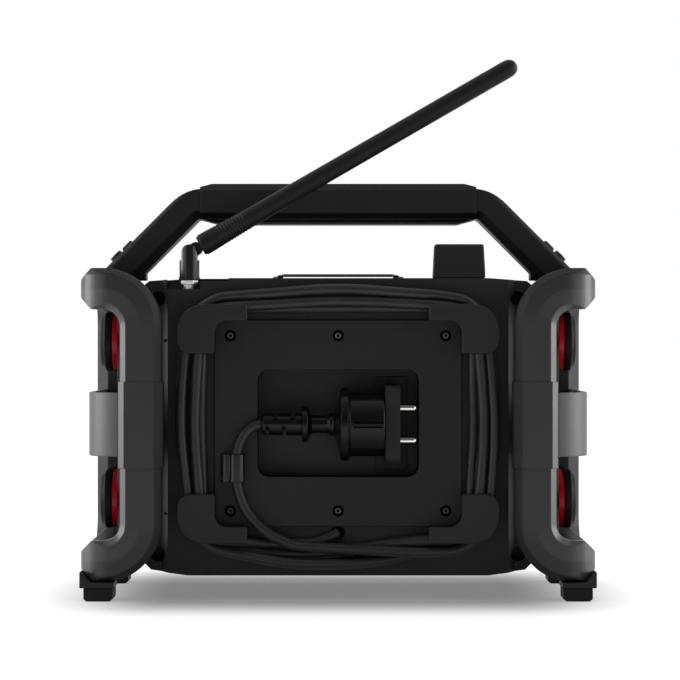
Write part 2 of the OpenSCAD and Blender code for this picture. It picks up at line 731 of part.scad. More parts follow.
// rear tube seen from above, its outer corner rounded
module corner_plan() {
    inner = post_x - tube;
    x = overall_w / 2;
    translate([inner, back_plane - tube]) square([x - inner - corner_r, tube]);
    translate([inner, back_plane - tube]) square([x - inner, tube - corner_r]);
    translate([x - corner_r, back_plane - corner_r]) circle(corner_r);
}

module rear_guard_left() rear_guard(false);
module rear_guard_right() rear_guard(true);

// front post with its two rails: one bent tube on each side
module front_guard(right) color("#303030") mirror_if(!right, [1, 0, 0]) {
    for (s = [0, 1]) {
        translate([rail_x, 0, rail_z[s]]) along_y(front_y + bend_r, back_plane - tube) rail_shape();
        translate([rail_x, front_y + bend_r, rail_z[s] + (s == 0 ? bend_r : -bend_r)]) mirror_if(s == 1, [0, 0, 1])
            rotate([90, 0, 90]) rotate([0, 0, 180]) rotate_extrude(angle = 90) translate([bend_r, 0]) rail_shape();
    }
    translate([rail_x, front_y, rail_z[0] + bend_r])
        linear_extrude(rail_z[1] - rail_z[0] - 2 * bend_r) rail_shape();
}

module front_guard_left() front_guard(false);
module front_guard_right() front_guard(true);

module post_sleeves() color("#303030") both_sides()
    translate([post_x, post_y, mid_z - sleeve_h / 2]) difference() {
        linear_extrude(sleeve_h) post_shape(sleeve_t);
        translate([0, 0, -1]) linear_extrude(sleeve_h + 2) post_shape(0);
    }

module side_band(right) color("#3a3a3a") mirror_if(!right, [1, 0, 0]) difference() {
    cx = band_x - band_r;
    cy = post_y - 26;
    reach = sleeve_x - cx;
    diag = overall_w / 2 - rail_cut + front_plane + tube;   // X + Y along the front post's chamfer
    along_z(mid_z - band_h / 2, mid_z + band_h / 2) polygon(concat(
        arc(cx, cy, band_r, 0, acos(reach / band_r), 16),
        arc(cx, cy, band_r - band_t, acos(reach / (band_r - band_t)), 0, 16),
        [[band_x - band_t, diag - band_x + band_t], [band_x, diag - band_x]]));
    bar_x(band_bolt_y, mid_z, band_shank_d, band_x - band_t - 1, band_x + 1);
}

module side_band_left() side_band(false);
module side_band_right() side_band(true);

module band_bolts() color("#555555") both_sides() {
    bar_x(band_bolt_y, mid_z, band_bolt_d, band_x, band_x + 2);
    bar_x(band_bolt_y, mid_z, band_shank_d, band_x - band_t - 2, band_x + e);
}

module at_feet() both_sides() for (s = [-1, 1])
    translate([rail_x + 0.5, s * (overall_d / 2 - 2 - foot_l / 2), 0]) children();

module foot_brackets() color("#2a2a2a") difference() {
    both_sides() for (s = [-1, 1])
        translate([overall_w / 2 - 0.7 - bracket_w / 2, s * (overall_d / 2 - 2 - foot_l / 2),
                   (foot_h + bracket_top) / 2]) cube([bracket_w, foot_l + 2, bracket_h], center = true);
    both_sides() {
        translate([rail_x, 0, rail_z[0]]) along_y(-overall_d, overall_d) rail_shape();
        block([rail_x - tube, back_plane - tube - e, guard_base],
              [post_x + bend_r + e, overall_d, guard_base + tube]);
        translate([rail_x, front_y + bend_r, rail_z[0] + bend_r])
            rotate([90, 0, 90]) rotate([0, 0, 180]) rotate_extrude(angle = 90) translate([bend_r, 0]) rail_shape();
        block([rail_x - tube, -overall_d, rail_z[0]], [rail_x + tube, front_y + bend_r, rail_z[0] + tube]);
    }
}

module rubber_feet() color("#161616") at_feet() along_y(-foot_l / 2, foot_l / 2)
    polygon([[-foot_w / 2, foot_h], [-foot_w / 2, 1.4], [-foot_w / 2 + 1.8, 0], [foot_w / 2 - 1.8, 0],
             [foot_w / 2, 1.4], [foot_w / 2, foot_h]]);

module guard_brackets() color("#2a2a2a") both_sides() for (s = [0, 1]) {
    z = s == 0 ? rail_z[0] + 0.2 : rail_z[1] - 4.6;
    block([hw, -30, z], [rail_x - tube / 2, 30, z + 4.4]);
}

// ---------- handle ----------

// a bar's section across its length: [depth, height over its lower face]
module bar_section() polygon([
    [-bar_d / 2, 0], [-bar_d / 2 + 7, -bar_under], [bar_d / 2 - 7, -bar_under], [bar_d / 2, 0],
    [bar_d / 2, bar_t - 2.2], [bar_d / 2 - 2.2, bar_t], [-bar_d / 2 + 2.2, bar_t], [-bar_d / 2, bar_t - 2.2]]);

// the handle seen from the front, with round outer corners
module handle_outline() {
    r = 30;
    cx = corner_x - r * tan(22.5);
    foot = rail_top;
    polygon(concat(arc(cx, bar_top - r, r, 45, 90, 8), arc(-cx, bar_top - r, r, 90, 135, 8),
        [[foot - arm_out, foot], [foot - arm_out, foot - 14], [arm_out - foot, foot - 14], [arm_out - foot, foot]]));
}

module handle_frame() color("#202020") {
    low = bar_top - bar_t;
    lean = tan(22.5);
    foot = rail_top;
    above = bar_d;
    mitre = [corner_x + above * lean, bar_top + above];
    root = [corner_x - arm_l * lean, bar_top - arm_l];
    difference() {
        intersection() {
            along_y(-bar_d / 2, bar_d / 2) handle_outline();
            union() {
                intersection() {
                    translate([0, 0, low]) along_x(-corner_x - bar_t, corner_x + bar_t) bar_section();
                    along_y(-bar_d, bar_d) polygon([mitre, root, [-root[0], root[1]], [-mitre[0], mitre[1]]]);
                }
                both_sides() intersection() {
                    translate([corner_x, 0, bar_top]) rotate([0, 45, 0]) translate([0, 0, -bar_t])
                        along_x(-bar_d, arm_l + bar_d) bar_section();
                    along_y(-bar_d, bar_d) polygon([mitre, root, [corner_x + arm_l, root[1]],
                                                    [corner_x + arm_l, mitre[1]]]);
                }
                both_sides() block([rail_x - tube / 2 - toe_l, -9, foot - 6], [rail_x, 9, foot - 0.8]);
            }
        }
        // feet cut to the rails they stand on
        both_sides() {
            block([rail_x - tube / 2 + rail_cut, -bar_d, foot - tube], [overall_w, bar_d, foot]);
            translate([rail_x, 0, rail_z[1]]) along_y(-bar_d, bar_d) rail_shape();
            block([rail_x - tube, -bar_d, foot - arm_l], [overall_w, bar_d, foot - rail_cut - 1.5]);
        }
        at_handle_bolts() translate([0, 0, -5]) cylinder(d = 5, h = 6);
    }
    both_sides() translate([corner_x, 0, bar_top]) rotate([0, 45, 0])
        block([arm_l - 24, -14, -1], [arm_l - 16.5, 14, 1.7]);
}

module handle_grip() color("#181818") {
    low = bar_top - bar_t;
    difference() {
        intersection() {
            along_x(-grip_l / 2, grip_l / 2) polygon([
                [-bar_d / 2 - 0.8, low - 1], [-bar_d / 2 + 8, low - bar_under - grip_under],
                [bar_d / 2 - 8, low - bar_under - grip_under], [bar_d / 2 + 0.8, low - 1],
                [bar_d / 2 + 0.8, bar_top - 1.5], [bar_d / 2 - 2.6, bar_top + grip_top],
                [-bar_d / 2 + 2.6, bar_top + grip_top], [-bar_d / 2 - 0.8, bar_top - 1.5]]);
            along_y(-bar_d, bar_d) polygon([
                [-grip_l / 2, bar_top + 0.8], [-grip_l / 2 + 7.3, bar_top + grip_top],
                [grip_l / 2 - 7.3, bar_top + grip_top], [grip_l / 2, bar_top + 0.8],
                [grip_l / 2, low - bar_under], [grip_l / 2 - 11, low - bar_under - grip_under],
                [-grip_l / 2 + 11, low - bar_under - grip_under], [-grip_l / 2, low - bar_under]]);
        }
        translate([0, 0, low]) along_x(-grip_l, grip_l) bar_section();
    }
}

module at_handle_bolts() both_sides() for (y = [-11, 11])
    translate([corner_x, y, bar_top]) rotate([0, 45, 0]) translate([arm_l - 11.1, 0, 0]) children();

module handle_bolts() color("#555555") at_handle_bolts() {
    cylinder(d = handle_bolt_d, h = 2.2);
    translate([0, 0, -5]) cylinder(d = 5, h = 5 + e);
}

// ---------- sides ----------

module side_cover(right) color("#262626") mirror_if(!right, [1, 0, 0]) {
    out = hw + cover_t;
    low = guard_base + tube + 2;
    top = rail_top - tube - 0.6;
    a = cover_front;
    b = cover_back;
    difference() {
        intersection() {
            along_z(low, top) polygon([[hw, -a], [out, cover_lean - a], [out, b - cover_lean], [hw, b]]);
            along_y(-a, b) polygon([[hw, low], [out, low + cover_cut], [out, top - cover_cut], [hw, top]]);
        }
        intersection() {
            along_z(low, top) polygon([[hw - 1, wall - a], [out - wall, wall + cover_lean - a],
                                       [out - wall, b - cover_lean - wall], [hw - 1, b - wall]]);
            along_y(-a, b) polygon([[hw - 1, low + wall], [out - wall, low + wall + cover_cut],
                                    [out - wall, top - wall - cover_cut], [hw - 1, top - wall]]);
        }
        at_radiators() along_x(hw - 1, out + 1) racetrack(radiator_l - 6, radiator_h - 6);
    }
}

module at_radiators() for (s = [-1, 1]) translate([0, -3, radiator_mid + s * radiator_off]) children();

module side_cover_left() side_cover(false);
module side_cover_right() side_cover(true);

module side_radiators() color("#141414") both_sides() at_radiators() {
    out = hw + cover_t;
    along_x(out - 6, out + ring_t + e) racetrack(radiator_l - 6.6, radiator_h - 6.6);
    along_x(out + ring_t, out + ring_t + cap_t - 2) racetrack(radiator_l, radiator_h);
    along_x(out + ring_t + cap_t - 2 - e, out + ring_t + cap_t) racetrack(radiator_l - 4, radiator_h - 4);
}

module radiator_rings() color("#b3121f") both_sides() at_radiators() {
    out = hw + cover_t;
    along_x(out, out + ring_t) difference() {
        racetrack(radiator_l - 1, radiator_h - 1);
        racetrack(radiator_l - 6.4, radiator_h - 6.4);
    }
}

// ---------- front ----------

module at_speakers() for (s = [-1, 1]) translate([s * speaker_x, control_y, speaker_z]) rotate([-90, 0, 0])
    children();

module speakers() color("#3c3c3c") at_speakers() rotate_extrude() polygon([
    [speaker_d / 2 - 3, 0], [speaker_d / 2 + 2, 0], [speaker_d / 2 + 2, 3], [speaker_d / 2 - 2, 3],
    [magnet_d / 2, basket_l], [magnet_d / 2, basket_l + magnet_l], [0, basket_l + magnet_l], [0, basket_l + 1],
    [magnet_d / 2 - 4, basket_l + 1], [magnet_d / 2 - 4, basket_l - 2], [speaker_d / 2 - 5, 4]]);

module speaker_cones() color("#1a1a1a") at_speakers() rotate_extrude() polygon([
    [speaker_d / 2 - 0.3, -1], [speaker_d / 2 - 0.3, 0], [speaker_d / 2 - 3.2, 0],
    [speaker_d / 2 - 4.4, 1.5], [speaker_d / 2 - 8, 2.5],
    [dust_d / 2, basket_l - 4.5], [0, basket_l - 7.5], [0, basket_l - 9], [dust_d / 2 - 1, basket_l - 6.5],
    [speaker_d / 2 - 8, 1]]);

module grille(side) color("#2b2b2b") translate([side * speaker_x, -front_d, speaker_z]) rotate([90, 0, 0])
    difference() {
        union() {
            cylinder(d = grille_d, h = 2);
            translate([0, 0, 2 - e]) cylinder(d1 = grille_d - 4, d2 = grille_d - 12, h = 2.5, $fn = 64);
        }
        for (z = [-4:4]) translate([0, z * 6.6, 0]) {
            w = 2 * sqrt(pow(speaker_d / 2 - 3, 2) - pow(z * 6.6, 2));
            cube([w, 3.4, 12], center = true);
        }
        translate([0, 0, -1]) cylinder(d = speaker_d - 4, h = 2.5);
    }

module grille_left() grille(-1);
module grille_right() grille(1);

module display_lens() color("#0c0c0c") {
    along_y(-front_d - 1.6, -front_d) translate([0, control_z]) round_rect(lens_w, lens_h, 4);
    along_y(-front_d - e, control_y) translate([0, control_z]) round_rect(lens_w - 8.6, lens_h - 8.6, 2);
}

// circuit board with the display, button switches and the two encoders' bushes
module control_board() color("#1f5a33") difference() {
    union() {
        along_y(board_y, board_y + 1.6) translate([0, (control_z + button_z) / 2 + 6])
            square([2 * knob_x + board_side, board_h], center = true);
        along_y(control_y + 0.2, board_y + e) translate([0, control_z]) square([lens_w - 10, lens_h - 10], center = true);
        for (i = [-2:2]) bar_y(i * button_pitch, button_z, 4, control_y + 1 + travel, board_y + e);
        for (s = [-1, 1]) {
            bar_y(s * knob_x, control_z, bush_d, -front_d + 0.5, board_y + e);
            bar_y(s * knob_x, control_z, 14, control_y + 0.2, board_y + e);
        }
    }
    for (s = [-1, 1]) bar_y(s * knob_x, control_z, shaft_d + 2 * run, -front_d - 1, board_y + 0.6);
}

module button(i) color("#3a3a3a") {
    along_y(-front_d - 2.4, control_y + 0.1 + e) translate([i * button_pitch, button_z])
        round_rect(button_w, button_h, 1.3);
    along_y(control_y + 0.1, control_y + 0.9) translate([i * button_pitch, button_z])
        round_rect(button_w + 2.4, button_h + 2.4, 1.3);
}

module button_1() button(-2);
module button_2() button(-1);
module button_3() button(0);
module button_4() button(1);
module button_5() button(2);

module knob(side) color("#2e2e2e") translate([side * knob_x, 0, control_z]) {
    face = -front_d - gap;
    difference() {
        union() {
            bar_y(0, 0, knob_d, face - knob_l + 2, face);
            bar_y(0, 0, knob_d - 3, face - knob_l, face - knob_l + 2 + e);
        }
        for (i = [0:23]) rotate([0, i * 15, 0]) translate([knob_d / 2 + 0.3, face - knob_l + 5, 0])
            cube([2, knob_l, 1.2], center = true);
        rotate([0, -35, 0]) block([-0.8, face - knob_l - 1, knob_d / 2 - 9], [0.8, face - knob_l + 0.6, knob_d / 2 - 3]);
    }
    bar_y(0, 0, shaft_d, face - e, board_y);
}

module volume_knob() knob(-1);
module tuning_knob() knob(1);

module battery_bay() color("#292929") {
    low = door_z + 4;
    top = door_z + door_h - 4;
    w = door_w / 2 - 3;
    difference() {
        union() {
            block([-w - 2, control_y, low - 2], [w + 2, control_y + bay_d, top + 2]);
            block([-w - 5, control_y, low - 5], [w + 5, control_y + 2, top + 5]);
        }
        block([-w, control_y - 1, low], [w, control_y + bay_d - 2, top]);
    }
}

module battery_terminals() color("#b8a15a") for (x = [-12, -4, 4, 12])
    block([x - 0.5, control_y + bay_d - 12, door_z + door_h / 2 - 8], [x + 0.5, control_y + bay_d - 2, door_z + door_h / 2 + 8]);

// door with its hinge barrel along the lower edge
module battery_door() color("#282828") {
    catch_z = door_z + door_h - 13;
    difference() {
        union() {
            along_y(door_y - door_t, door_y) translate([0, door_z + door_h / 2 + 1])
                round_rect(door_w, door_h - 2, 3);
            bar_x(door_axis[0], door_axis[1], door_t, -door_w / 2 + 6, door_w / 2 - 6);
        }
        block([-door_w, door_y - door_t - 1, door_z - 1], [-door_w / 2 + 6, door_y + 1, door_z + 5]);
        block([door_w / 2 - 6, door_y - door_t - 1, door_z - 1], [door_w, door_y + 1, door_z + 5]);
        bar_x(door_axis[0], door_axis[1], door_pin + 2 * run, -door_w, door_w);
        along_y(door_y - door_t - 1, door_y - door_floor) translate([0, catch_z])
            round_rect(18 + 2 * gap, 10 + 2 * gap, 2);
        for (i = [0:4]) translate([0, door_y - door_t, door_z + 16 + i * 8])
            cube([door_w - 22, 1.2, 2], center = true);
    }
}

// push button on the door that lets its catch go
module door_button() color("#b3121f")
    along_y(door_y - door_t - 0.8, door_y - door_floor - travel - 0.1)
        translate([0, door_z + door_h - 13]) round_rect(18, 10, 1.8);

// rubber cover over the ports, hinged along its lower edge
module port_cover() color("#1a1a1a") difference() {
    union() {
        along_y(door_y - port_t, door_y) difference() {
            translate([port_x, port_z + port_h / 2]) round_rect(port_w, port_h, 2);
            translate([port_x - port_w, port_z - 1]) square([2 * port_w, port_t / 2 + 1]);
            for (s = [-1, 1]) translate([port_x + s * (port_w / 2 + port_hinge) / 2, port_z])
                square([port_w / 2 - port_hinge, 2 * (port_t + 1.4 * gap)], center = true);
        }
        bar_x(port_axis[0], port_axis[1], port_t, port_x - port_hinge, port_x + port_hinge);
    }
    bar_x(port_axis[0], port_axis[1], port_pin + 2 * run, port_x - port_w, port_x + port_w);
}

// socket block behind the port cover: a wide socket and a round one
module port_block() color("#3a3a3a") difference() {
    mid = port_z + port_h / 2;
    block([port_x - port_w / 2, control_y, mid - 6], [port_x + port_w / 2, control_y + 14, mid + 6]);
    block([port_x - 12, control_y - 1, mid - 2.6], [port_x + 0.6, control_y + 11, mid + 2.6]);
    bar_y(port_x + 8, mid, jack_d, control_y - 1, control_y + 12);
}

// ---------- antenna, bail, inside ----------

module antenna_jack() color("#c9c9c9") translate([antenna_x, antenna_y, nest_z]) difference() {
    union() {
        translate([0, 0, -8]) cylinder(d = 6.4, h = 8 + e);
        translate([0, 0, -4.5]) cylinder(d = jack_nut_d, h = 2, $fn = 6);
        cylinder(d = 7.4, h = 3);
        translate([0, 0, 3 - e]) cylinder(d = 10, h = nut_top - 3 + e, $fn = 6);
    }
    translate([0, 0, -1]) cylinder(d = 3 + 2 * run, h = 9);
}

nut_top = 5.4;

// barrel that turns on the jack, with the fork that carries the rod
module antenna_swivel() color("#7d7d7d") translate([antenna_x, antenna_y, 0]) {
    base = nest_z + nut_top + gap;
    ear = 9.4;
    shoulder = antenna_z - 4.6;
    translate([0, 0, nest_z - 0.8]) cylinder(d = 3, h = base - nest_z + 0.8 + e);
    translate([0, 0, base]) cylinder(d = barrel_d + 0.8, h = 1.4);
    translate([0, 0, base + 1.4 - e]) cylinder(d = barrel_d, h = shoulder - base - 1.4 + 2 * e);
    intersection() {
        difference() {
            union() {
                block([-ear / 2, -barrel_d / 2, shoulder], [ear / 2, barrel_d / 2, antenna_z]);
                bar_y(0, antenna_z, ear, -barrel_d / 2, barrel_d / 2);
            }
            block([-8, -fork_t / 2 - gap, shoulder + 0.2], [8, fork_t / 2 + gap, antenna_z + 8]);
            bar_y(0, antenna_z, 2.5 + 2 * run, -barrel_d / 2 + 1.2, barrel_d / 2 - 1.2);
        }
        translate([0, 0, shoulder - 1]) cylinder(d = barrel_d, h = 20);
    }
}

// antenna rod with its tongue, drawn level along -X and raised to its rest angle
module antenna_rod() color("#1e1e1e") translate([antenna_x, antenna_y, antenna_z]) rotate([0, rest_angle, 0]) {
    bar_y(0, 0, 2.5, -barrel_d / 2 + 1.6, barrel_d / 2 - 1.6);
    bar_y(0, 0, 8, -fork_t / 2, fork_t / 2);
    block([-8 - e, -fork_t / 2, -4], [0, fork_t / 2, 4]);
    rotate([0, -90, 0]) {
        translate([0, 0, 8]) cylinder(d = whip_sleeve_d - 1, h = 2 + e);
        translate([0, 0, 10]) cylinder(d = whip_sleeve_d, h = 32);
        translate([0, 0, 42 - e]) cylinder(d = (whip_sleeve_d + whip_d) / 2, h = 4);
        translate([0, 0, 46 - 2 * e]) cylinder(d = whip_d, h = whip_l - 46 - 4);
        translate([0, 0, whip_l - 4 - 3 * e]) cylinder(d = whip_d - 2, h = 2.4);
        translate([0, 0, whip_l - 1.6 - 4 * e]) cylinder(d = whip_d - 5, h = 1.6);
    }
}

module antenna_clip() color("#212121") {
    w = whip_d / 2 + clip_gap;
    top = body_top + 20.1;
    along_x(clip_block_x - clip_l / 2, clip_block_x + clip_l / 2) difference() {
        polygon([[antenna_y - w - 3.6, body_top], [antenna_y + w + 3.6, body_top], [antenna_y + w + 3.6, top - 2],
                 [antenna_y + w + 2, top], [antenna_y + w + 0.6, top], [antenna_y + w, top - 1.5],
                 [antenna_y - w, top - 1.5], [antenna_y - w - 0.6, top], [antenna_y - w - 2, top],
                 [antenna_y - w - 3.6, top - 2]]);
        translate([antenna_y, antenna_z]) circle(w);
        translate([antenna_y - w, antenna_z]) square([2 * w, 20]);
    }
}

// folding wire stand that lies on the top, hinged at its rear ends
module wire_bail() color("#9a9a9a") {
    for (s = [-1, 1]) {
        bar_x(bail_y, bail_z, bail_d, s > 0 ? bail_out - 5 : -bail_out, s > 0 ? bail_out : -bail_out + 5);
        translate([s * bail_out, bail_y, bail_z]) wire_to([-s * bail_splay, -bail_reach, bail_rise]);
        translate([s * bail_out, bail_y, bail_z]) sphere(d = bail_d + 0.3);
        translate([s * bail_w / 2, bail_y - bail_reach, bail_z + bail_rise]) sphere(d = bail_d + 0.3);
    }
    bar_x(bail_y - bail_reach, bail_z + bail_rise, bail_d, -bail_w / 2, bail_w / 2);
}

module wire_to(v) rotate([0, acos(v[2] / norm(v)), atan2(v[1], v[0])]) cylinder(d = bail_d, h = norm(v));

module bail_eyes() color("#202020") both_sides() difference() {
    x = bail_out - 5.2;
    along_x(x, x + 3.2) polygon([[bail_y - 2.4, bail_z - 2], [bail_y + 2.4, bail_z - 2],
                                 [bail_y + 1.6, bail_z + 1.8], [bail_y - 1.6, bail_z + 1.8]]);
    bar_x(bail_y, bail_z, bail_d + 2 * run, x - 1, x + 5);
}

// transformer and its board on the back of the plug pocket
module power_supply() color("#2d6a3d") {
    back = floor_y - pocket_wall;
    w = pocket_w / 2 - 3.3;
    h = pocket_h / 2 - 2.4;
    block([-w, back - 1.6, pocket_z - h], [w, back, pocket_z + h]);
    block([-core_w / 2, back - core_d, pocket_z - core_h / 2],
          [core_w / 2, back - 1.6 + e, pocket_z + core_h / 2]);
    for (x = [can_d - w, w - can_d]) bar_y(x, pocket_z - can_d, can_d, back - can_l, back - 1.6 + e);
}

rear_housing();
front_housing();
housing_gasket();
housing_screws();
service_panel();
panel_screws();
plug_holder();
upper_hooks();
lower_hooks();
cord_clip();
cord_gland();
cord_winding();
cord_tail();
plug_relief();
plug_body();
plug_pins();
rear_guard_left();
rear_guard_right();
front_guard_left();
front_guard_right();
post_sleeves();
side_band_left();
side_band_right();
band_bolts();
foot_brackets();
rubber_feet();
handle_frame();
handle_grip();
handle_bolts();
guard_brackets();
side_cover_left();
side_cover_right();
side_radiators();
radiator_rings();
speakers();
speaker_cones();
grille_left();
grille_right();
display_lens();
control_board();
button_1();
button_2();
button_3();
button_4();
button_5();
volume_knob();
tuning_knob();
battery_bay();
battery_terminals();
battery_door();
door_button();
port_cover();
port_block();
antenna_jack();
antenna_swivel();
antenna_rod();
antenna_clip();
wire_bail();
bail_eyes();
power_supply();
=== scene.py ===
import json

import bmesh
import bpy
import numpy as np
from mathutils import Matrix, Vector

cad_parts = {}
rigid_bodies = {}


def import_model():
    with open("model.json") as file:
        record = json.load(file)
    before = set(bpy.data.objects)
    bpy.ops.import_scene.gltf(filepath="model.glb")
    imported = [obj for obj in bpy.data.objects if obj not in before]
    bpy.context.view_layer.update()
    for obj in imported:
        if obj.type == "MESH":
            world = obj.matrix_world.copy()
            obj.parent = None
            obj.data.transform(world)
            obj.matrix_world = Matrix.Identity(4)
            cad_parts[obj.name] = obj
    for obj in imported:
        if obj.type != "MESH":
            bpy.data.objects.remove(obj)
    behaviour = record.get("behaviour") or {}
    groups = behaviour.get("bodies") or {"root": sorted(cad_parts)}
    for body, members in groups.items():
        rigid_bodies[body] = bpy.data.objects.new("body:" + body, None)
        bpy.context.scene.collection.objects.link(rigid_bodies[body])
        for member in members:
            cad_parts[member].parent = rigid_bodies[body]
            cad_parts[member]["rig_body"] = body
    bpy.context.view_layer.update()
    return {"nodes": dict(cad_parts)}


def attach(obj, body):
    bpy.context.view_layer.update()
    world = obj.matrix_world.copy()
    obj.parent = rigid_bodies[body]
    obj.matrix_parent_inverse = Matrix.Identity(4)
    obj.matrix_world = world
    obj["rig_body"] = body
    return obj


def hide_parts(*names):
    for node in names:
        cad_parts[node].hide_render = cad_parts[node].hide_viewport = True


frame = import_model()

mm = 0.001

# ---------------------------------------------------------------- camera
# A long lens stands 1.75 m behind the rear guards, level with the radio's middle,
# so the back is seen straight on.

camera = bpy.data.objects.new("camera", bpy.data.cameras.new("camera"))
bpy.context.scene.collection.objects.link(camera)
camera.location = (-1.1 * mm, 1830 * mm, 152 * mm)
camera.rotation_euler = (np.pi / 2, 0, np.pi)
camera.data.sensor_width = 36
camera.data.lens = 159.7
camera.data.clip_end = 30
bpy.context.scene.camera = camera

# ---------------------------------------------------------------- mains lead
# A round two-core lead in black rubber, 6.5 mm thick. It leaves the gland under the
# panel, makes three turns round the four hooks, and crosses the panel through its
# clip to the plug.


class Signal:
    """What varies over a surface: a node's output. The operators and methods add Math nodes."""

    def __init__(self, nodes, socket):
        self.nodes, self.socket = nodes, socket

    def math(self, operation, *others):
        """A Math node's operation on this number and the others."""
        sockets = dict(enumerate([self, *others]))
        return self.nodes.node("ShaderNodeMath", {"operation": operation}, sockets)

    def __add__(self, other):
        return self.math("ADD", other)

    def __sub__(self, other):
        return self.math("SUBTRACT", other)

    def __mul__(self, other):
        return self.math("MULTIPLY", other)

    def __truediv__(self, other):
        return self.math("DIVIDE", other)

    def __rsub__(self, other):
        return (self * -1) + other

    __radd__, __rmul__ = __add__, __mul__

    def at_least(self, limit):
        """The larger of this number and the limit."""
        return self.math("MAXIMUM", limit)

    def at_most(self, limit):
        """The smaller of this number and the limit."""
        return self.math("MINIMUM", limit)

    def ease(self, start, end):
        """0 below start and 1 above end, with an even slope between them, and never outside 0 to 1."""
        return ((self - start) / (end - start)).at_least(0).at_most(1)


class Nodes:
    """A tree of nodes and the closing node that they feed."""

    def __init__(self, tree, closing):
        self.tree = tree
        self.closing = next(n for n in tree.nodes if n.type == closing)

    def put(self, socket, value):
        """Links a signal to a socket, or writes a value on it."""
        if isinstance(value, Signal):
            self.tree.links.new(value.socket, socket)
        elif socket.type == "RGBA":
            socket.default_value = (*value, 1)
        else:
            socket.default_value = value

    def set(self, name, value):
        """Feeds a socket of the closing node."""
        self.put(self.closing.inputs[name], value)

    def get(self, name):
        """What already feeds a socket of the closing node."""
        return Signal(self, self.closing.inputs[name].links[0].from_socket)

    def node(self, kind, settings=None, sockets=None, result=0):
        """Any other node: its settings first, then the values or links of its sockets."""
        made = self.tree.nodes.new(kind)
        for name, value in (settings or {}).items():
            setattr(made, name, value)
        for key, value in (sockets or {}).items():
            named = [s for s in made.inputs if key in (s.identifier, s.name) and s.enabled]
            self.put(named[0] if named else made.inputs[key], value)
        outs = [s for s in made.outputs if s.enabled]
        return Signal(self, outs[result] if isinstance(result, int) else made.outputs[result])

    def axis(self, which, point=None):
        """X, Y or Z of a point; without one, of the place on the object in metres."""
        point = point or self.node("ShaderNodeTexCoord", result="Object")
        return self.node("ShaderNodeSeparateXYZ", {}, {0: point}, "XYZ".index(which))

    def noise(self, grains_per_metre, detail):
        """A cloudy number about 1/2, with that many grains in a metre."""
        point = self.node("ShaderNodeTexCoord", result="Object")
        sockets = {"Vector": point, "Scale": grains_per_metre, "Detail": detail}
        return self.node("ShaderNodeTexNoise", {}, sockets)

    def between(self, low, high, amount):
        """The colour low where amount is 0 and high where it is 1."""
        sockets = {"Factor_Float": amount, "A_Color": low, "B_Color": high}
        return self.node("ShaderNodeMix", {"data_type": "RGBA"}, sockets)


class Finish(Nodes):
    """The finish of one kind of piece: a Principled surface and the nodes that vary it."""

    def __init__(self, name, color, roughness, **even):
        self.material = bpy.data.materials.new(name)
        self.material.use_nodes = True
        super().__init__(self.material.node_tree, "BSDF_PRINCIPLED")
        self.set("Base Color", color)
        self.set("Roughness", roughness)
        for socket, value in even.items():
            self.set(socket.replace("_", " "), value)

    def bump(self, height, depth, strength):
        """Relief on the surface: height from 0 to 1 stands depth metres tall."""
        sockets = {"Height": height, "Distance": depth, "Strength": strength}
        self.set("Normal", self.node("ShaderNodeBump", {}, sockets))


lead_d = 6.5 * mm
# the lead's axis where it touches the hooks' necks, from the middle of the back
neck_x, neck_z, neck_r = 65.1 * mm, 53.2 * mm, 14.3 * mm
middle_z = 103 * mm


def eased(places, knots, values):
    """A smooth curve through the values at uneven knots: between two knots it is a cubic, and each
    knot's slope is taken from its two neighbours."""
    slope = np.gradient(values, knots, axis=0)
    i = np.clip(np.searchsorted(knots, places) - 1, 0, len(knots) - 2)
    span = (knots[i + 1] - knots[i])[:, None]
    f = ((places - knots[i]) / span[:, 0])[:, None]
    a, b = values[i], values[i + 1]
    return a + (b - a) * f * f * (3 - 2 * f) + span * f * (1 - f) * (slope[i] * (1 - f) - slope[i + 1] * f)


# Turns made, distance out from the necks, and Y. The turns start at the bottom and go up
# the left, over the top and down the right; the first rises to the outer layer at once,
# the second stays against the back, and the third lies outside both.
winding_keys = np.array([
    [0.04, 3.6, 55.4], [0.069, 3.2, 55.5], [0.108, 1.4, 61.6], [0.15, 1.6, 62], [0.25, 4.6, 62],
    [0.34, 2.2, 62], [0.375, 0.6, 62], [0.42, 1.8, 62], [0.5, 4.2, 61.9], [0.58, 2.4, 61.9],
    [0.625, 0.6, 62], [0.67, 3.4, 62], [0.75, 6, 61.9], [0.83, 3.6, 62], [0.875, 0.6, 62],
    [0.915, 1, 61.4], [0.96, 4, 56.2], [1, 8.2, 55.4], [1.04, 9.4, 55.4], [1.085, 7.6, 55.4],
    [1.13, 1.6, 55.4], [1.17, 0.4, 55.4], [1.25, 1.6, 55.4], [1.36, 0.3, 55.4], [1.5, 0.4, 55.4],
    [1.64, 0.3, 55.4], [1.75, 0.5, 55.4], [1.865, 0.5, 55.4], [1.9, 4.6, 55.4], [1.94, 11.4, 55.6],
    [1.97, 14, 57.6], [2, 14.8, 60.6], [2.05, 14, 61.8], [2.09, 9.9, 61], [2.125, 6.8, 60],
    [2.16, 8.4, 60.6], [2.25, 12.9, 61.6], [2.34, 9.6, 60.6], [2.375, 6.6, 60], [2.42, 8.2, 60.8],
    [2.5, 11.2, 61.9], [2.58, 8.4, 60.8], [2.625, 6.6, 60], [2.67, 9.4, 61.2], [2.75, 12.4, 61.9],
    [2.83, 10.2, 61.4], [2.875, 7.4, 61.4], [2.92, 8, 61.9], [2.97, 6.6, 61.9], [3, 5.8, 61.9]])

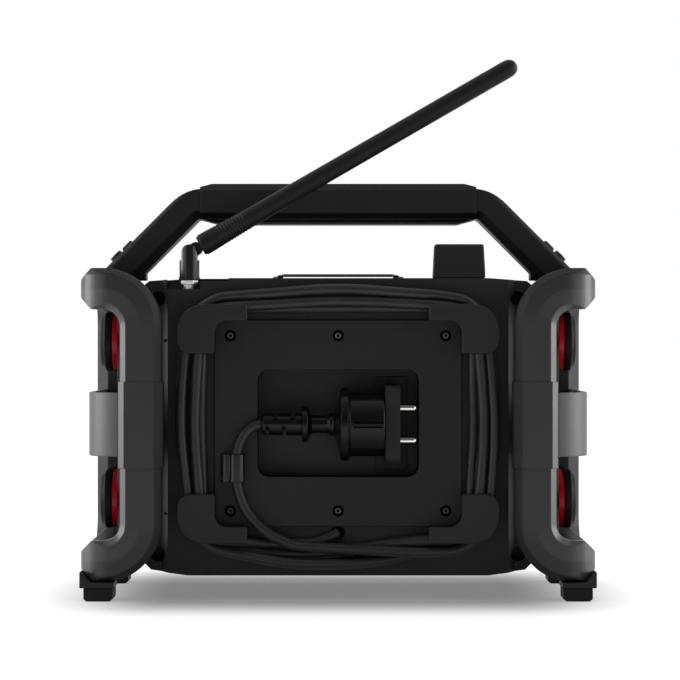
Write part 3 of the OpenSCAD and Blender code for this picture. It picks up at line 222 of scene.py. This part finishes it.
# A turn runs round a rectangle with rounded corners, pushed outwards by out: side goes from
# 0 at the middle of the bottom or top run to 1 at the middle of a side.
turns = np.linspace(0.045, 2.985, 330)
out, depth = eased(turns, winding_keys[:, 0], winding_keys[:, 1:]).T * mm
side = np.abs((2 * turns + 0.5) % 1 - 0.5) * 2
half_bend = neck_x + neck_r * np.pi / 4
run = np.interp(side, [0, 0.5, 1], [0, half_bend, half_bend + neck_r * np.pi / 4 + neck_z])
bend = np.clip((run - neck_x) / neck_r, 0, np.pi / 2)
across = np.minimum(run, neck_x) + (neck_r + out) * np.sin(bend)
upright = neck_z - np.maximum(run - neck_x - neck_r * np.pi / 2, 0) + (neck_r + out) * np.cos(bend)
winding = np.stack([np.sign(np.sin(2 * np.pi * turns)) * across, depth,
                    middle_z - np.sign(np.cos(2 * np.pi * turns)) * upright], axis=1)

start = np.array([[0, 53.2, 38.5], [9.5, 54.9, 34.2], [19, 55.4, 32.4]]) * mm
free_end = np.array([
    [10, 61.9, 30], [22, 61.9, 31], [32, 61.7, 34], [41, 61.2, 38.5], [48.5, 60.5, 45],
    [54, 59.8, 52], [57.5, 59.3, 60], [59.3, 59, 68], [59.5, 59, 77], [59.5, 59, 85],
    [57.5, 58.7, 92.5], [53.5, 58.3, 98.5], [48.5, 58.1, 101.8], [43, 58, 102.5]]) * mm


def through(points, step):
    """One smooth line through the points: a Catmull-Rom cubic, sampled evenly by its length."""
    ends = np.vstack([2 * points[0] - points[1], points, 2 * points[-1] - points[-2]])
    f = np.linspace(0, 1, 12, endpoint=False)[None, :, None]
    a, b, c, d = (ends[k:len(ends) - 3 + k, None, :] for k in range(4))
    line = b + 0.5 * f * (c - a + f * (2 * a - 5 * b + 4 * c - d + f * (3 * (b - c) + d - a)))
    line = line.reshape(-1, 3)
    line = np.vstack([line, points[-1]])
    run = np.concatenate([[0], np.cumsum(np.linalg.norm(np.diff(line, axis=0), axis=1))])
    even = np.linspace(0, run[-1], int(run[-1] / step))
    return np.stack([np.interp(even, run, line[:, i]) for i in range(3)], axis=1)


lead_line = through(np.vstack([start, winding[2::2], free_end[1:]]), 2.6 * mm)
lead_curve = bpy.data.curves.new("mains_lead", "CURVE")
lead_curve.dimensions = "3D"
lead_curve.bevel_depth = lead_d / 2
lead_curve.bevel_resolution = 6
spline = lead_curve.splines.new("POLY")
spline.points.add(len(lead_line) - 1)
spline.points.foreach_set("co", np.hstack([lead_line, np.ones((len(lead_line), 1))]).ravel())
spline.use_smooth = True
mains_lead = bpy.data.objects.new("mains_lead", lead_curve)
bpy.context.scene.collection.objects.link(mains_lead)

lead_rubber = Finish("lead_rubber", (0.011, 0.011, 0.0112), 0.4, Specular_IOR_Level=0.3)
cloud = lead_rubber.noise(60, 3)
speck = lead_rubber.noise(2600, 2)
lead_rubber.set("Base Color", lead_rubber.between((0.008, 0.008, 0.0083), (0.014, 0.014, 0.0145), cloud))
lead_rubber.set("Roughness", cloud * 0.18 + 0.3)
lead_rubber.bump(speck * 0.4 + lead_rubber.noise(420, 2), 0.00012, 0.4)
mains_lead.data.materials.append(lead_rubber.material)
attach(mains_lead, "base")
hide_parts("cord_winding", "cord_tail")

# ---------------------------------------------------------------- plug
# The moulded mains plug at the lead's end: a slotted strain relief, a collar, a neck
# and a round body with a flange, all in one rubber, with two nickel-plated pins.


def soften(piece, width, crease=32, steps=2):
    """Every edge that turns more than crease degrees is rounded to width, or stays crisp at width 0."""
    piece.data.shade_smooth()
    if width:
        ease = piece.modifiers.new("eased_corners", "BEVEL")
        ease.width, ease.segments, ease.limit_method = width, steps, "ANGLE"
        ease.angle_limit = np.radians(crease)
        ease.use_clamp_overlap = False
        ease.harden_normals = True
    else:
        piece.data.set_sharp_from_angle(angle=np.radians(crease))
    even = piece.modifiers.new("even_shading", "WEIGHTED_NORMAL")
    even.keep_sharp = True


def fitted(name, mesh, finish, node, replaces=True):
    """The mesh as a piece in its finish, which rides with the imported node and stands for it."""
    mesh.materials.clear()
    mesh.materials.append(finish.material)
    piece = bpy.data.objects.new(name, mesh)
    bpy.context.scene.collection.objects.link(piece)
    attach(piece, frame["nodes"][node]["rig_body"])
    if replaces:
        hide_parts(node)
    return piece


def rounded(node, width, finish, crease=32, steps=2):
    """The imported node's solid with its corners eased, once its triangles are joined and those that
    lie flat together are dissolved."""
    mesh = bpy.data.meshes.new(node + "_eased")
    shape = bmesh.new()
    shape.from_mesh(frame["nodes"][node].data)
    bmesh.ops.remove_doubles(shape, verts=shape.verts, dist=2e-6)
    flat = np.radians(0.4)
    bmesh.ops.dissolve_limit(shape, angle_limit=flat, verts=shape.verts, edges=shape.edges)
    shape.to_mesh(mesh)
    shape.free()
    piece = fitted(node + "_eased", mesh, finish, node)
    soften(piece, width, crease, steps)
    return piece


def turned(profile, centre, axis, around):
    """Grid of a turned shape: at the profile's place s and radius r, and the angle a, the point is
    centre + s * axis + r * (cos a * u + sin a * v), where u and v stand square to the axis."""
    axis = np.array(axis, float)
    u = np.array([0, 1, 0]) if abs(axis[1]) < 0.5 else np.array([0, 0, 1])
    v = np.cross(axis, u)
    s, r = np.asarray(profile, float).T[:, :, None, None]
    a = np.asarray(around)[None, :, None]
    return np.asarray(centre, float) + s * axis + r * (np.cos(a) * u + np.sin(a) * v)


def skin(name, grids):
    """Closed mesh over equal grids of points: each cell of a grid is a face, its columns run round,
    and its first and last rows are each drawn to one point."""
    grids = np.stack(grids)
    copies, rows, columns = grids.shape[:3]
    middle = grids[:, 1:-1].reshape(copies, -1, 3)
    points = np.concatenate([grids[:, 0, :1], middle, grids[:, -1, :1]], axis=1)
    each = points.shape[1]
    here = np.arange(columns)
    there = (here + 1) % columns
    low, last = 1 + np.arange(rows - 3)[:, None] * columns, 1 + (rows - 3) * columns
    cells = np.stack([low + here, low + there, low + there + columns, low + here + columns], axis=-1)
    ends = np.concatenate([np.stack([0 * here, 1 + there, 1 + here], axis=-1),
                           np.stack([0 * here + each - 1, last + here, last + there], axis=-1)])
    offset = np.arange(copies)[:, None, None] * each
    squares = (cells.reshape(-1, 4) + offset).reshape(-1, 4)
    triangles = (ends + offset).reshape(-1, 3)
    mesh = bpy.data.meshes.new(name)
    mesh.from_pydata(points.reshape(-1, 3).tolist(), [], squares.tolist() + triangles.tolist())
    shape = bmesh.new()
    shape.from_mesh(mesh)
    bmesh.ops.recalc_face_normals(shape, faces=shape.faces)
    shape.to_mesh(mesh)
    shape.free()
    return mesh


def whole_turn(steps):
    """Even angles all the way round."""
    return np.linspace(0, 2 * np.pi, steps, endpoint=False)


plug_rubber = Finish("plug_rubber", (0.0025, 0.0025, 0.0026), 0.2, Specular_IOR_Level=0.18)
plug_rubber.set("Roughness", plug_rubber.noise(90, 3) * 0.14 + 0.13)
plug_rubber.bump(plug_rubber.noise(700, 3), 0.00004, 0.3)
relief = rounded("plug_relief", 0.35 * mm, plug_rubber)

plug_y, plug_z, body_r = 58 * mm, 102.5 * mm, 18.8
plug_axis = np.array([0, plug_y, plug_z])
# X and radius of the turned shape, from the collar over the neck, its bead and the flange to the face
plug_profile = np.array([
    [21.2, 0], [21.2, 10], [20.9, 10.4], [20.2, 10.6], [18.6, 10.6], [17.8, 10.1], [17, 8.2],
    [16.2, 6.3], [15.3, 5.4], [14.2, 5.2], [6.8, 5.2], [6, 5.5], [5.3, 6.2], [4.4, 6.6], [3.4, 6.6],
    [2.6, 7], [1.9, 8], [1.2, 9.6], [0.4, 12.8], [-0.3, 16.6], [-0.9, 19.5], [-1.7, 21.1],
    [-2.8, 21.6], [-5.2, 21.6], [-6, 21.2], [-6.5, 20.2], [-7.3, 19.1], [-8.4, body_r],
    [-8.9, body_r], [-9, body_r], [-26.3, body_r], [-26.4, body_r], [-26.7, 18.75], [-27.2, 18.4],
    [-27.5, 17.8], [-27.5, 0]]) * mm
# two narrow V-shaped slits run along the body
slit_depth = 3 * mm
slit_edges = np.arcsin(np.array([-1.7, -1.28, -1.24, -0.82, 0.82, 1.24, 1.28, 1.7]) / body_r)
around_plug = np.concatenate([slit_edges, np.linspace(0.1, 2 * np.pi - 0.1, 118)])
in_slit = np.isin(np.arange(len(around_plug)), [1, 2, 5, 6])
in_body = (plug_profile[:, 0] < -8.95 * mm) & (plug_profile[:, 0] > -26.35 * mm)
plug_grid = turned(plug_profile, plug_axis, (1, 0, 0), around_plug)
plug_grid[np.ix_(in_body, in_slit)] -= np.array([0, slit_depth, 0])
plug = fitted("plug_shell", skin("plug_shell", [plug_grid]), plug_rubber, "plug_body")
soften(plug, 0, 34)

pin_nickel = Finish("pin_nickel", (0.7, 0.69, 0.67), 0.12, Metallic=1.0)
pin_nickel.set("Roughness", pin_nickel.noise(500, 2) * 0.1 + 0.07)
# a painted highlight: the middle of each pin is paler than its darker flanks
pin_side = 9.5 * mm
aside = ((pin_nickel.axis("Z") - plug_z).math("ABSOLUTE") - pin_side).math("ABSOLUTE")
painted_highlight = (1.3 * mm - aside).ease(0, 0.7 * mm)
pin_nickel.set("Base Color", pin_nickel.between((0.1, 0.1, 0.098), (0.7, 0.69, 0.67), painted_highlight))
pin_r, pin_root, pin_end = 2.4, -27.3, -44.1
tip = np.linspace(0, np.pi / 2, 9)
round_end = np.stack([pin_end - pin_r * np.sin(tip), pin_r * np.cos(tip)], axis=1)
pin_profile = np.concatenate([[[pin_root, 0], [pin_root, pin_r]], round_end]) * mm
pin_grids = [turned(pin_profile, plug_axis + (0, 0, z), (1, 0, 0), whole_turn(48))
             for z in (-pin_side, pin_side)]
pins = fitted("plug_pin_pair", skin("plug_pin_pair", pin_grids), pin_nickel, "plug_pins")
soften(pins, 0, 40)

# ---------------------------------------------------------------- housings
# Two deep shells in black glass-filled plastic, moulded with a fine spark-eroded
# texture, and screwed together round a rubber gasket. The back shell's face stands
# 6 mm over its side margins.


def moulded(name, color, roughness, grain=0.00003, level=0.3):
    """Textured moulded plastic: with a slow cloud its colour runs from 92% to 108% and its roughness
    by 0.05 each way, and its fine grain stands grain metres tall."""
    finish = Finish(name, color, roughness, Specular_IOR_Level=level)
    slow = finish.noise(24, 3)
    fine = finish.noise(1900, 2)
    darker = tuple(0.92 * c for c in color)
    paler = tuple(1.08 * c for c in color)
    finish.set("Base Color", finish.between(darker, paler, slow))
    finish.set("Roughness", slow * 0.1 + (roughness - 0.05))
    finish.bump(fine * 0.7 + finish.noise(620, 2) * 0.3, grain, 0.6)
    return finish


body_black = moulded("body_black", (0.0115, 0.0115, 0.0119), 0.5, level=0.18)
for name in ("rear_housing", "front_housing"):
    rounded(name, 0, body_black, crease=16)

seal_rubber = moulded("seal_rubber", (0.006, 0.006, 0.006), 0.6, 0.00001, 0.15)
rounded("housing_gasket", 0.1 * mm, seal_rubber)

screw_zinc = Finish("screw_zinc", (0.02, 0.02, 0.02), 0.5, Metallic=1.0)
screw_zinc.set("Roughness", screw_zinc.noise(400, 3) * 0.25 + 0.25)
rounded("housing_screws", 0.15 * mm, screw_zinc)

# ---------------------------------------------------------------- service panel
# A flat black plastic panel over the back, moulded with the pocket that the plug
# parks in, and held by six socket screws in counterbores.

panel_black = moulded("panel_black", (0.0108, 0.0108, 0.011), 0.46, 0.000025, 0.18)
rounded("service_panel", 0.5 * mm, panel_black)

screw_x, screw_z = 63.4 * mm, 51.6 * mm


def within_screws(finish, radius):
    """1 nearer than radius to the axis of any of the six screws and 0 further off."""
    aside = finish.axis("X").math("ABSOLUTE")
    upward = (finish.axis("Z") - middle_z).math("ABSOLUTE") - screw_z
    to_corner = aside - screw_x
    nearest = (to_corner * to_corner).at_most(aside * aside)
    return (nearest + upward * upward).ease(radius ** 2, (0.93 * radius) ** 2)


# painted shade blackens the counterbores and the pocket's walls, and painted light makes the pocket's
# floor paler than the panel's face
pocket_x, pocket_z = 48.5 * mm, 32.6 * mm
pocket_face, pocket_floor, pocket_back = 55 * mm, 36.2 * mm, 33.5 * mm
panel_y = panel_black.axis("Y")
inside = (pocket_x - panel_black.axis("X").math("ABSOLUTE")).ease(0, 0.2 * mm)
inside = inside * (panel_y - pocket_back).ease(0, 0.5 * mm)
inside = inside * (pocket_z - (panel_black.axis("Z") - middle_z).math("ABSOLUTE")).ease(0, 0.2 * mm)
painted_wall_shade = inside * (pocket_face - 0.1 * mm - panel_y).ease(0, 0.25 * mm)
painted_floor_light = inside * (pocket_floor + 0.5 * mm - panel_y).ease(0, 0.3 * mm)
painted_recess_shade = within_screws(panel_black, 3.4 * mm).at_least(painted_wall_shade * (1 - painted_floor_light))
floor_lightened = panel_black.between(panel_black.get("Base Color"), (0.019, 0.019, 0.0193), painted_floor_light)
panel_black.set("Base Color", panel_black.between(floor_lightened, (0.0012, 0.0012, 0.0012), painted_recess_shade))
# the metallic share follows the painted shade, so there the panel shows no gloss
panel_black.set("Metallic", painted_recess_shade)

screw_black = Finish("screw_black", (0.15, 0.15, 0.15), 0.34, Metallic=1.0)
screw_black.set("Roughness", screw_black.noise(600, 2) * 0.2 + 0.24)
# painted shade: the hollow of each screw's socket is painted near black
socket = within_screws(screw_black, 1.05 * mm)
screw_black.set("Base Color", screw_black.between((0.15, 0.15, 0.15), (0.004, 0.004, 0.004), socket))
# Y and radius of the turned shape: the shank, the head's rim and its socket
screw_profile = np.array([
    [49.2, 0], [49.2, 1.3], [53.4, 1.3], [53.42, 1.75], [54.3, 1.75], [54.62, 1.6], [54.7, 1.35],
    [54.66, 1.15], [54.5, 1.05], [53.6, 1], [53.6, 0]]) * mm
screw_grids = [turned(screw_profile, (x, 0, middle_z + z), (0, 1, 0), whole_turn(24))
               for x in (-screw_x, 0, screw_x) for z in (-screw_z, screw_z)]
screw_mesh = skin("socket_screws", screw_grids)
screws = fitted("socket_screws", screw_mesh, screw_black, "panel_screws")
soften(screws, 0, 50)

holder_black = moulded("holder_black", (0.0115, 0.0115, 0.0117), 0.46, 0.000025, 0.15)
rounded("plug_holder", 0.4 * mm, holder_black)

# ---------------------------------------------------------------- hooks and clip
# Four L-shaped plastic hooks stand off the back on their necks, so the lead winds
# behind their plates. A glossy clip on the panel holds its free end, and a rubber
# gland guards its outlet.

hook_black = moulded("hook_black", (0.0108, 0.0108, 0.011), 0.44, 0.000025, 0.18)
for name in ("upper_hooks", "lower_hooks"):
    rounded(name, 1.0 * mm, hook_black, steps=3)
clip_gloss = Finish("clip_gloss", (0.005, 0.005, 0.005), 0.14, Specular_IOR_Level=0.26)
clip_gloss.set("Roughness", clip_gloss.noise(200, 2) * 0.08 + 0.1)
rounded("cord_clip", 0.4 * mm, clip_gloss, crease=50)
rounded("cord_gland", 0.3 * mm, seal_rubber)

# ---------------------------------------------------------------- side guards
# Each side has a bent front post with two rails and a C-shaped rear post, in chamfered
# 24 mm tube of charcoal glass-filled nylon, with a sleeve where the band passes.

guard_charcoal = moulded("guard_charcoal", (0.0175, 0.0175, 0.0178), 0.36, 0.00002, 0.32)
# The rear guards' inner chamfers are rougher and in painted shade, and round the bends the outer half of
# the tube has a painted highlight and the inner half painted shade. inward is the distance from the tube's
# centre line towards the housing, along the straight post and round both bends.
post_x, post_z, straight, bend_r = 115.1 * mm, 102.5 * mm, 57.5 * mm, 22 * mm
chamfer_in = 7.6 * mm
to_bend = (post_x + bend_r - guard_charcoal.axis("X").math("ABSOLUTE")).at_least(0)
past_post = ((guard_charcoal.axis("Z") - post_z).math("ABSOLUTE") - straight).at_least(0)
inward = (to_bend * to_bend + past_post * past_post).math("SQRT") - bend_r
chamfer_shade_mask = (inward - chamfer_in).ease(0, 1 * mm)
shaded_inner_half = (inward + 0.7 * mm).ease(0, 1.4 * mm)
painted_bend_light_and_shade = guard_charcoal.between((0.025, 0.025, 0.0255), (0.01, 0.01, 0.0102), shaded_inner_half)
bent = past_post.ease(0, 14 * mm)
face = guard_charcoal.between(guard_charcoal.get("Base Color"), painted_bend_light_and_shade, bent * 0.9)
guard_charcoal.set("Base Color", guard_charcoal.between(face, (0.004, 0.004, 0.004), chamfer_shade_mask))
guard_charcoal.set("Roughness", guard_charcoal.get("Roughness") + chamfer_shade_mask * 0.3)
for name in ("rear_guard_left", "rear_guard_right"):
    rounded(name, 0.5 * mm, guard_charcoal)
front_charcoal = moulded("front_charcoal", (0.0165, 0.0165, 0.0168), 0.48, 0.00002, 0.15)
for name in ("front_guard_left", "front_guard_right"):
    rounded(name, 0.5 * mm, front_charcoal)
rounded("post_sleeves", 0.35 * mm, guard_charcoal)

band_charcoal = moulded("band_charcoal", (0.039, 0.039, 0.0398), 0.42, 0.00002, 0.33)
for name in ("side_band_left", "side_band_right"):
    rounded(name, 0.6 * mm, band_charcoal)
bolt_black = moulded("bolt_black", (0.02, 0.02, 0.02), 0.35, 0.00001)
rounded("band_bolts", 0.4 * mm, bolt_black)

# ---------------------------------------------------------------- feet
# Black plastic brackets hug the rails' ends and carry rubber pads with chamfered
# soles; two more pairs of brackets join the guards to the housing.

foot_black = moulded("foot_black", (0.0095, 0.0095, 0.0095), 0.5, level=0.2)
rounded("foot_brackets", 0.5 * mm, foot_black)
rounded("rubber_feet", 0.5 * mm, seal_rubber)
rounded("guard_brackets", 0.4 * mm, foot_black)

# ---------------------------------------------------------------- handle
# A bent bar in glass-filled nylon with a chamfered underside stands on the upper
# rails, bolted at its feet; a rubber sleeve is moulded over its grip.

frame_black = moulded("frame_black", (0.0102, 0.0102, 0.0104), 0.5, level=0.13)
rounded("handle_frame", 0.9 * mm, frame_black, steps=3)
grip_rubber = moulded("grip_rubber", (0.009, 0.009, 0.009), 0.56, 0.00005, 0.15)
# painted highlights: two pale lines run along the rubber's lower edges, under a chamfer in painted shade
chamfer_z, upper_z, lower_z = 228.2 * mm, 224.7 * mm, 222.5 * mm
height = grip_rubber.axis("Z")
grip_chamfer_shade = (chamfer_z - height).ease(0, 0.4 * mm)
upper_highlight = (0.5 * mm - (height - upper_z).math("ABSOLUTE")).ease(0, 0.3 * mm)
lower_highlight = (0.6 * mm - (height - lower_z).math("ABSOLUTE")).ease(0, 0.3 * mm)
lower = grip_rubber.between(grip_rubber.get("Base Color"), (0.003, 0.003, 0.003), grip_chamfer_shade)
lower = grip_rubber.between(lower, (0.03, 0.03, 0.03), upper_highlight)
grip_rubber.set("Base Color", grip_rubber.between(lower, (0.055, 0.055, 0.055), lower_highlight))
rounded("handle_grip", 0.6 * mm, grip_rubber)
rounded("handle_bolts", 0.4 * mm, bolt_black)

# ---------------------------------------------------------------- sides
# A moulded cover on each side of the housing carries two passive radiators: black
# rubber ovals, each set in a glossy red plastic ring.

for name in ("side_cover_left", "side_cover_right"):
    rounded(name, 0.3 * mm, body_black)
radiator_black = moulded("radiator_black", (0.005, 0.005, 0.005), 0.5, 0.00002, 0.1)
rounded("side_radiators", 1.2 * mm, radiator_black, steps=3)
ring_red = moulded("ring_red", (0.34, 0.002, 0.006), 0.3, 0.00001, 0.2)
rounded("radiator_rings", 0.3 * mm, ring_red)

# ---------------------------------------------------------------- speakers and grilles
# Two speakers with black paper cones in grey steel baskets, screwed behind slotted
# grilles of moulded plastic.

basket_grey = moulded("basket_grey", (0.05, 0.05, 0.052), 0.4)
rounded("speakers", 0.3 * mm, basket_grey)
rounded("speaker_cones", 0.2 * mm, radiator_black)
grille_black = moulded("grille_black", (0.028, 0.028, 0.029), 0.42)
for name in ("grille_left", "grille_right"):
    rounded(name, 0, grille_black, crease=16)

# ---------------------------------------------------------------- display and controls
# A display behind a dark glossy lens, on a green circuit board, with five rubber keys
# under it and a ribbed knob on each side.

lens_glass = Finish("lens_glass", (0.003, 0.003, 0.0035), 0.08, Specular_IOR_Level=0.3)
# the unlit liquid-crystal cell shows a little paler through the glass
cell_w, cell_h, cell_z = 62 * mm, 21 * mm, 157 * mm
cell = (cell_w / 2 - lens_glass.axis("X").math("ABSOLUTE")).ease(0, 0.4 * mm)
cell = cell * (cell_h / 2 - (lens_glass.axis("Z") - cell_z).math("ABSOLUTE")).ease(0, 0.4 * mm)
lens_glass.set("Base Color", lens_glass.between((0.003, 0.003, 0.0035), (0.013, 0.016, 0.014), cell))
lens_glass.set("Roughness", lens_glass.noise(40, 3) * 0.06 + 0.05)
rounded("display_lens", 0.5 * mm, lens_glass)
board_green = moulded("board_green", (0.01, 0.06, 0.025), 0.4)
rounded("control_board", 0.1 * mm, board_green)
key_grey = moulded("key_grey", (0.03, 0.03, 0.031), 0.55)
for name in ("button_1", "button_2", "button_3", "button_4", "button_5"):
    rounded(name, 0.5 * mm, key_grey, steps=3)
for name in ("volume_knob", "tuning_knob"):
    rounded(name, 0.4 * mm, key_grey)

# ---------------------------------------------------------------- battery and ports
# The battery sits in a bay behind a hinged door, which a red button releases, and meets
# its brass contacts there. A rubber cover closes the block of ports.

rounded("battery_bay", 0.3 * mm, panel_black)
brass = Finish("contact_brass", (0.55, 0.4, 0.16), 0.3, Metallic=1.0)
brass.set("Roughness", brass.noise(300, 2) * 0.2 + 0.2)
rounded("battery_terminals", 0.1 * mm, brass)
rounded("battery_door", 0, panel_black, crease=16)
rounded("door_button", 0.4 * mm, ring_red)
rounded("port_cover", 0.3 * mm, seal_rubber)
rounded("port_block", 0.2 * mm, panel_black)

# ---------------------------------------------------------------- antenna
# A rod in black plastic on a swivel barrel of dark plated steel, which turns in a
# nickel-plated jack. A fork of the barrel holds the rod's tongue, so the rod tilts.

nickel = Finish("antenna_nickel", (0.9, 0.9, 0.89), 0.45, Metallic=1.0)
nickel.set("Roughness", nickel.noise(300, 3) * 0.18 + 0.36)
rounded("antenna_jack", 0.25 * mm, nickel)
gunmetal = Finish("swivel_gunmetal", (0.032, 0.032, 0.033), 0.22, Metallic=1.0)
gunmetal.set("Roughness", gunmetal.noise(300, 3) * 0.1 + 0.17)
rounded("antenna_swivel", 0, gunmetal, crease=20)
rod_black = moulded("rod_black", (0.0065, 0.0065, 0.0066), 0.48, level=0.13)
pivot = np.array([88.1, 42, 203.8]) * mm
rest_angle = np.radians(30)
along = np.array([-np.cos(rest_angle), 0, np.sin(rest_angle)])
# distance from the pivot and radius: the root, the flared sleeve, the long rod and its rounded tip
root = np.array([[7.6, 0], [7.6, 5.7], [9, 6.1], [9.1, 6.5], [14, 6.5], [17, 6.4], [19, 6.3]])
whip = np.array([
    [39, 5.7], [52, 5.5], [90, 5.4], [150, 5.35], [216, 5.35], [218.6, 5.2], [220.6, 4.7], [222.2, 3.7],
    [223.2, 2.3], [223.5, 1.1], [223.6, 0]])
# between them the sleeve narrows and carries ribs: its radius rises and falls by 0.16 mm every 2 mm
ribbed = np.linspace(19.5, 38.5, 77)
narrowing = np.interp(ribbed, [root[-1, 0], whip[0, 0]], [root[-1, 1], whip[0, 1]])
ribs = np.stack([ribbed, narrowing + 0.16 * np.cos(np.pi * ribbed)], axis=1)
rod_grid = turned(np.vstack([root, ribs, whip]) * mm, pivot, along, whole_turn(64))
rod = fitted("ribbed_rod", skin("ribbed_rod", [rod_grid]), rod_black, "antenna_rod")
soften(rod, 0, 30)
# its tongue between the fork's ears is a flat bar with round ends: half a circle about the pivot,
# and the other half moved along the rod
tongue_r, tongue_reach, tongue_y = 4, 4.5, 2.1
angle = whole_turn(48)
ahead = tongue_r * np.cos(angle) + tongue_reach * (np.cos(angle) > 0)
rim = ahead[:, None] * along + tongue_r * np.sin(angle)[:, None] * np.cross((0, 1, 0), along)
rims = [rim * wide + (0, y, 0)
        for wide, y in ((0, -tongue_y), (1, -tongue_y), (1, tongue_y), (0, tongue_y))]
tongue_mesh = skin("rod_tongue", [pivot + mm * np.stack(rims)])
tongue = fitted("rod_tongue", tongue_mesh, rod_black, "antenna_rod", replaces=False)
soften(tongue, 0, 40)

# ---------------------------------------------------------------- antenna clip and bail
# A plastic clip on the housing's top holds the folded rod. A stand of bent steel wire
# lies folded on the top, and its ends turn in two plastic eyes.

block = rounded("antenna_clip", 1.2 * mm, frame_black, steps=3)
spots = np.empty(3 * len(block.data.vertices))
block.data.vertices.foreach_get("co", spots)
spots = spots.reshape(-1, 3)
middle = (spots[:, 0].min() + spots[:, 0].max()) / 2
rise = (spots[:, 2] - spots[:, 2].min()) / np.ptp(spots[:, 2])
# the clip's block narrows by 7% towards its top
narrowed = 0.07
spots[:, 0] = middle + (spots[:, 0] - middle) * (1 - narrowed * rise)
block.data.vertices.foreach_set("co", spots.ravel())
block.data.update()

wire_steel = Finish("wire_steel", (0.25, 0.25, 0.25), 0.3, Metallic=1.0)
wire_steel.set("Roughness", wire_steel.noise(600, 2) * 0.2 + 0.2)
rounded("wire_bail", 0, wire_steel)
rounded("bail_eyes", 0.3 * mm, frame_black)

# ---------------------------------------------------------------- mains supply
# A transformer and two capacitors on a green board, which is fixed behind the pocket
# inside the housing. The lead ends here.

rounded("power_supply", 0.4 * mm, board_green)

# ---------------------------------------------------------------- light and floor
# A white studio, dimmer to the rear: two tall soft boxes beside the radio, two weak
# ones at its rear corners and one above, and a white floor that keeps its shadow and
# has a painted shadow round the radio.

bpy.context.scene.view_settings.view_transform = "Standard"

studio = bpy.data.worlds.new("studio")
bpy.context.scene.world = studio
studio.use_nodes = True
air = Nodes(studio.node_tree, "BACKGROUND")
# the air is white where it is looked at, gives the radio a share of that light, and falls to a
# smaller share towards the rear
given, to_rear = 0.45, 0.16
looked_at = air.node("ShaderNodeLightPath", result="Is Camera Ray")
reflected = air.node("ShaderNodeLightPath", result="Is Glossy Ray")
reflected = reflected.at_least(air.node("ShaderNodeLightPath", result="Is Transmission Ray"))
rearward = air.axis("Y", air.node("ShaderNodeTexCoord", result="Generated")).ease(-0.1, 0.8)
unseen = (reflected * (1 - given) + given) * (1 - rearward * (1 - to_rear))
air.set("Color", (1, 1, 1))
air.set("Strength", unseen.at_least(looked_at))


def soft_box(name, place, aim, width, height, watts, mirrored=True):
    """A rectangular lamp; one that isn't mirrored lights the radio but shows in no gloss."""
    lamp = bpy.data.lights.new(name, "AREA")
    lamp.shape, lamp.size, lamp.size_y, lamp.energy = "RECTANGLE", width, height, watts
    box = bpy.data.objects.new(name, lamp)
    bpy.context.scene.collection.objects.link(box)
    box.location = place
    box.rotation_euler = (Vector(aim) - Vector(place)).to_track_quat("-Z", "Y").to_euler()
    box.visible_glossy = mirrored


# both pairs of boxes aim at the housing's middle
heart = (0, 0, 0.12)
soft_box("side_box_right", (1.3, -0.12, 0.3), heart, 0.8, 1.0, 19)
soft_box("side_box_left", (-1.3, -0.12, 0.3), heart, 0.8, 1.0, 19)
soft_box("top_box", (0, 0, 1.1), (0, 0, 0.1), 1.7, 1.7, 17, mirrored=False)
soft_box("corner_box_right", (1.1, 0.68, 0.3), heart, 0.75, 1.0, 4)
soft_box("corner_box_left", (-1.1, 0.68, 0.3), heart, 0.75, 1.0, 4)

floor = bpy.data.meshes.new("floor")
edge = 6
corners = [(-edge, -edge, 0), (edge, -edge, 0), (edge, edge, 0), (-edge, edge, 0)]
floor.from_pydata(corners, [], [(0, 1, 2, 3)])
ground = bpy.data.objects.new("floor", floor)
bpy.context.scene.collection.objects.link(ground)
white_floor = Finish("white_floor", (0.8, 0.8, 0.8), 0.9, Specular_IOR_Level=0.0)
seen = white_floor.node("ShaderNodeLightPath", result="Is Camera Ray")
for ray in ("Is Glossy Ray", "Is Transmission Ray"):
    seen = seen.at_least(white_floor.node("ShaderNodeLightPath", result=ray))
# a painted shadow darkens the floor's colour and glow near the radio, and further off it is as white
# as the air: away runs from 0 under the radio to 1 at 190 mm outside it, and rises faster at its sides
beside = (white_floor.axis("X").math("ABSOLUTE") - 0.1).at_least(0) * 1.5
behind = (white_floor.axis("Y").math("ABSOLUTE") - 0.08).at_least(0)
away = (beside * beside + behind * behind).math("SQRT").ease(0.0, 0.19)
painted_shadow_base = white_floor.between((0.08, 0.08, 0.08), (0.25, 0.25, 0.25), (away * 2.4).at_most(1))
white_floor.set("Base Color", white_floor.between((0.8, 0.8, 0.8), painted_shadow_base, seen))
brightest = 1.02
glow_with_painted_shadow = seen * (0.22 + away * away * (2.4 - away * 1.6))
white_floor.set("Emission Color", white_floor.between((0, 0, 0), (brightest,) * 3, glow_with_painted_shadow / brightest))
white_floor.set("Emission Strength", 1.0)
floor.materials.append(white_floor.material)
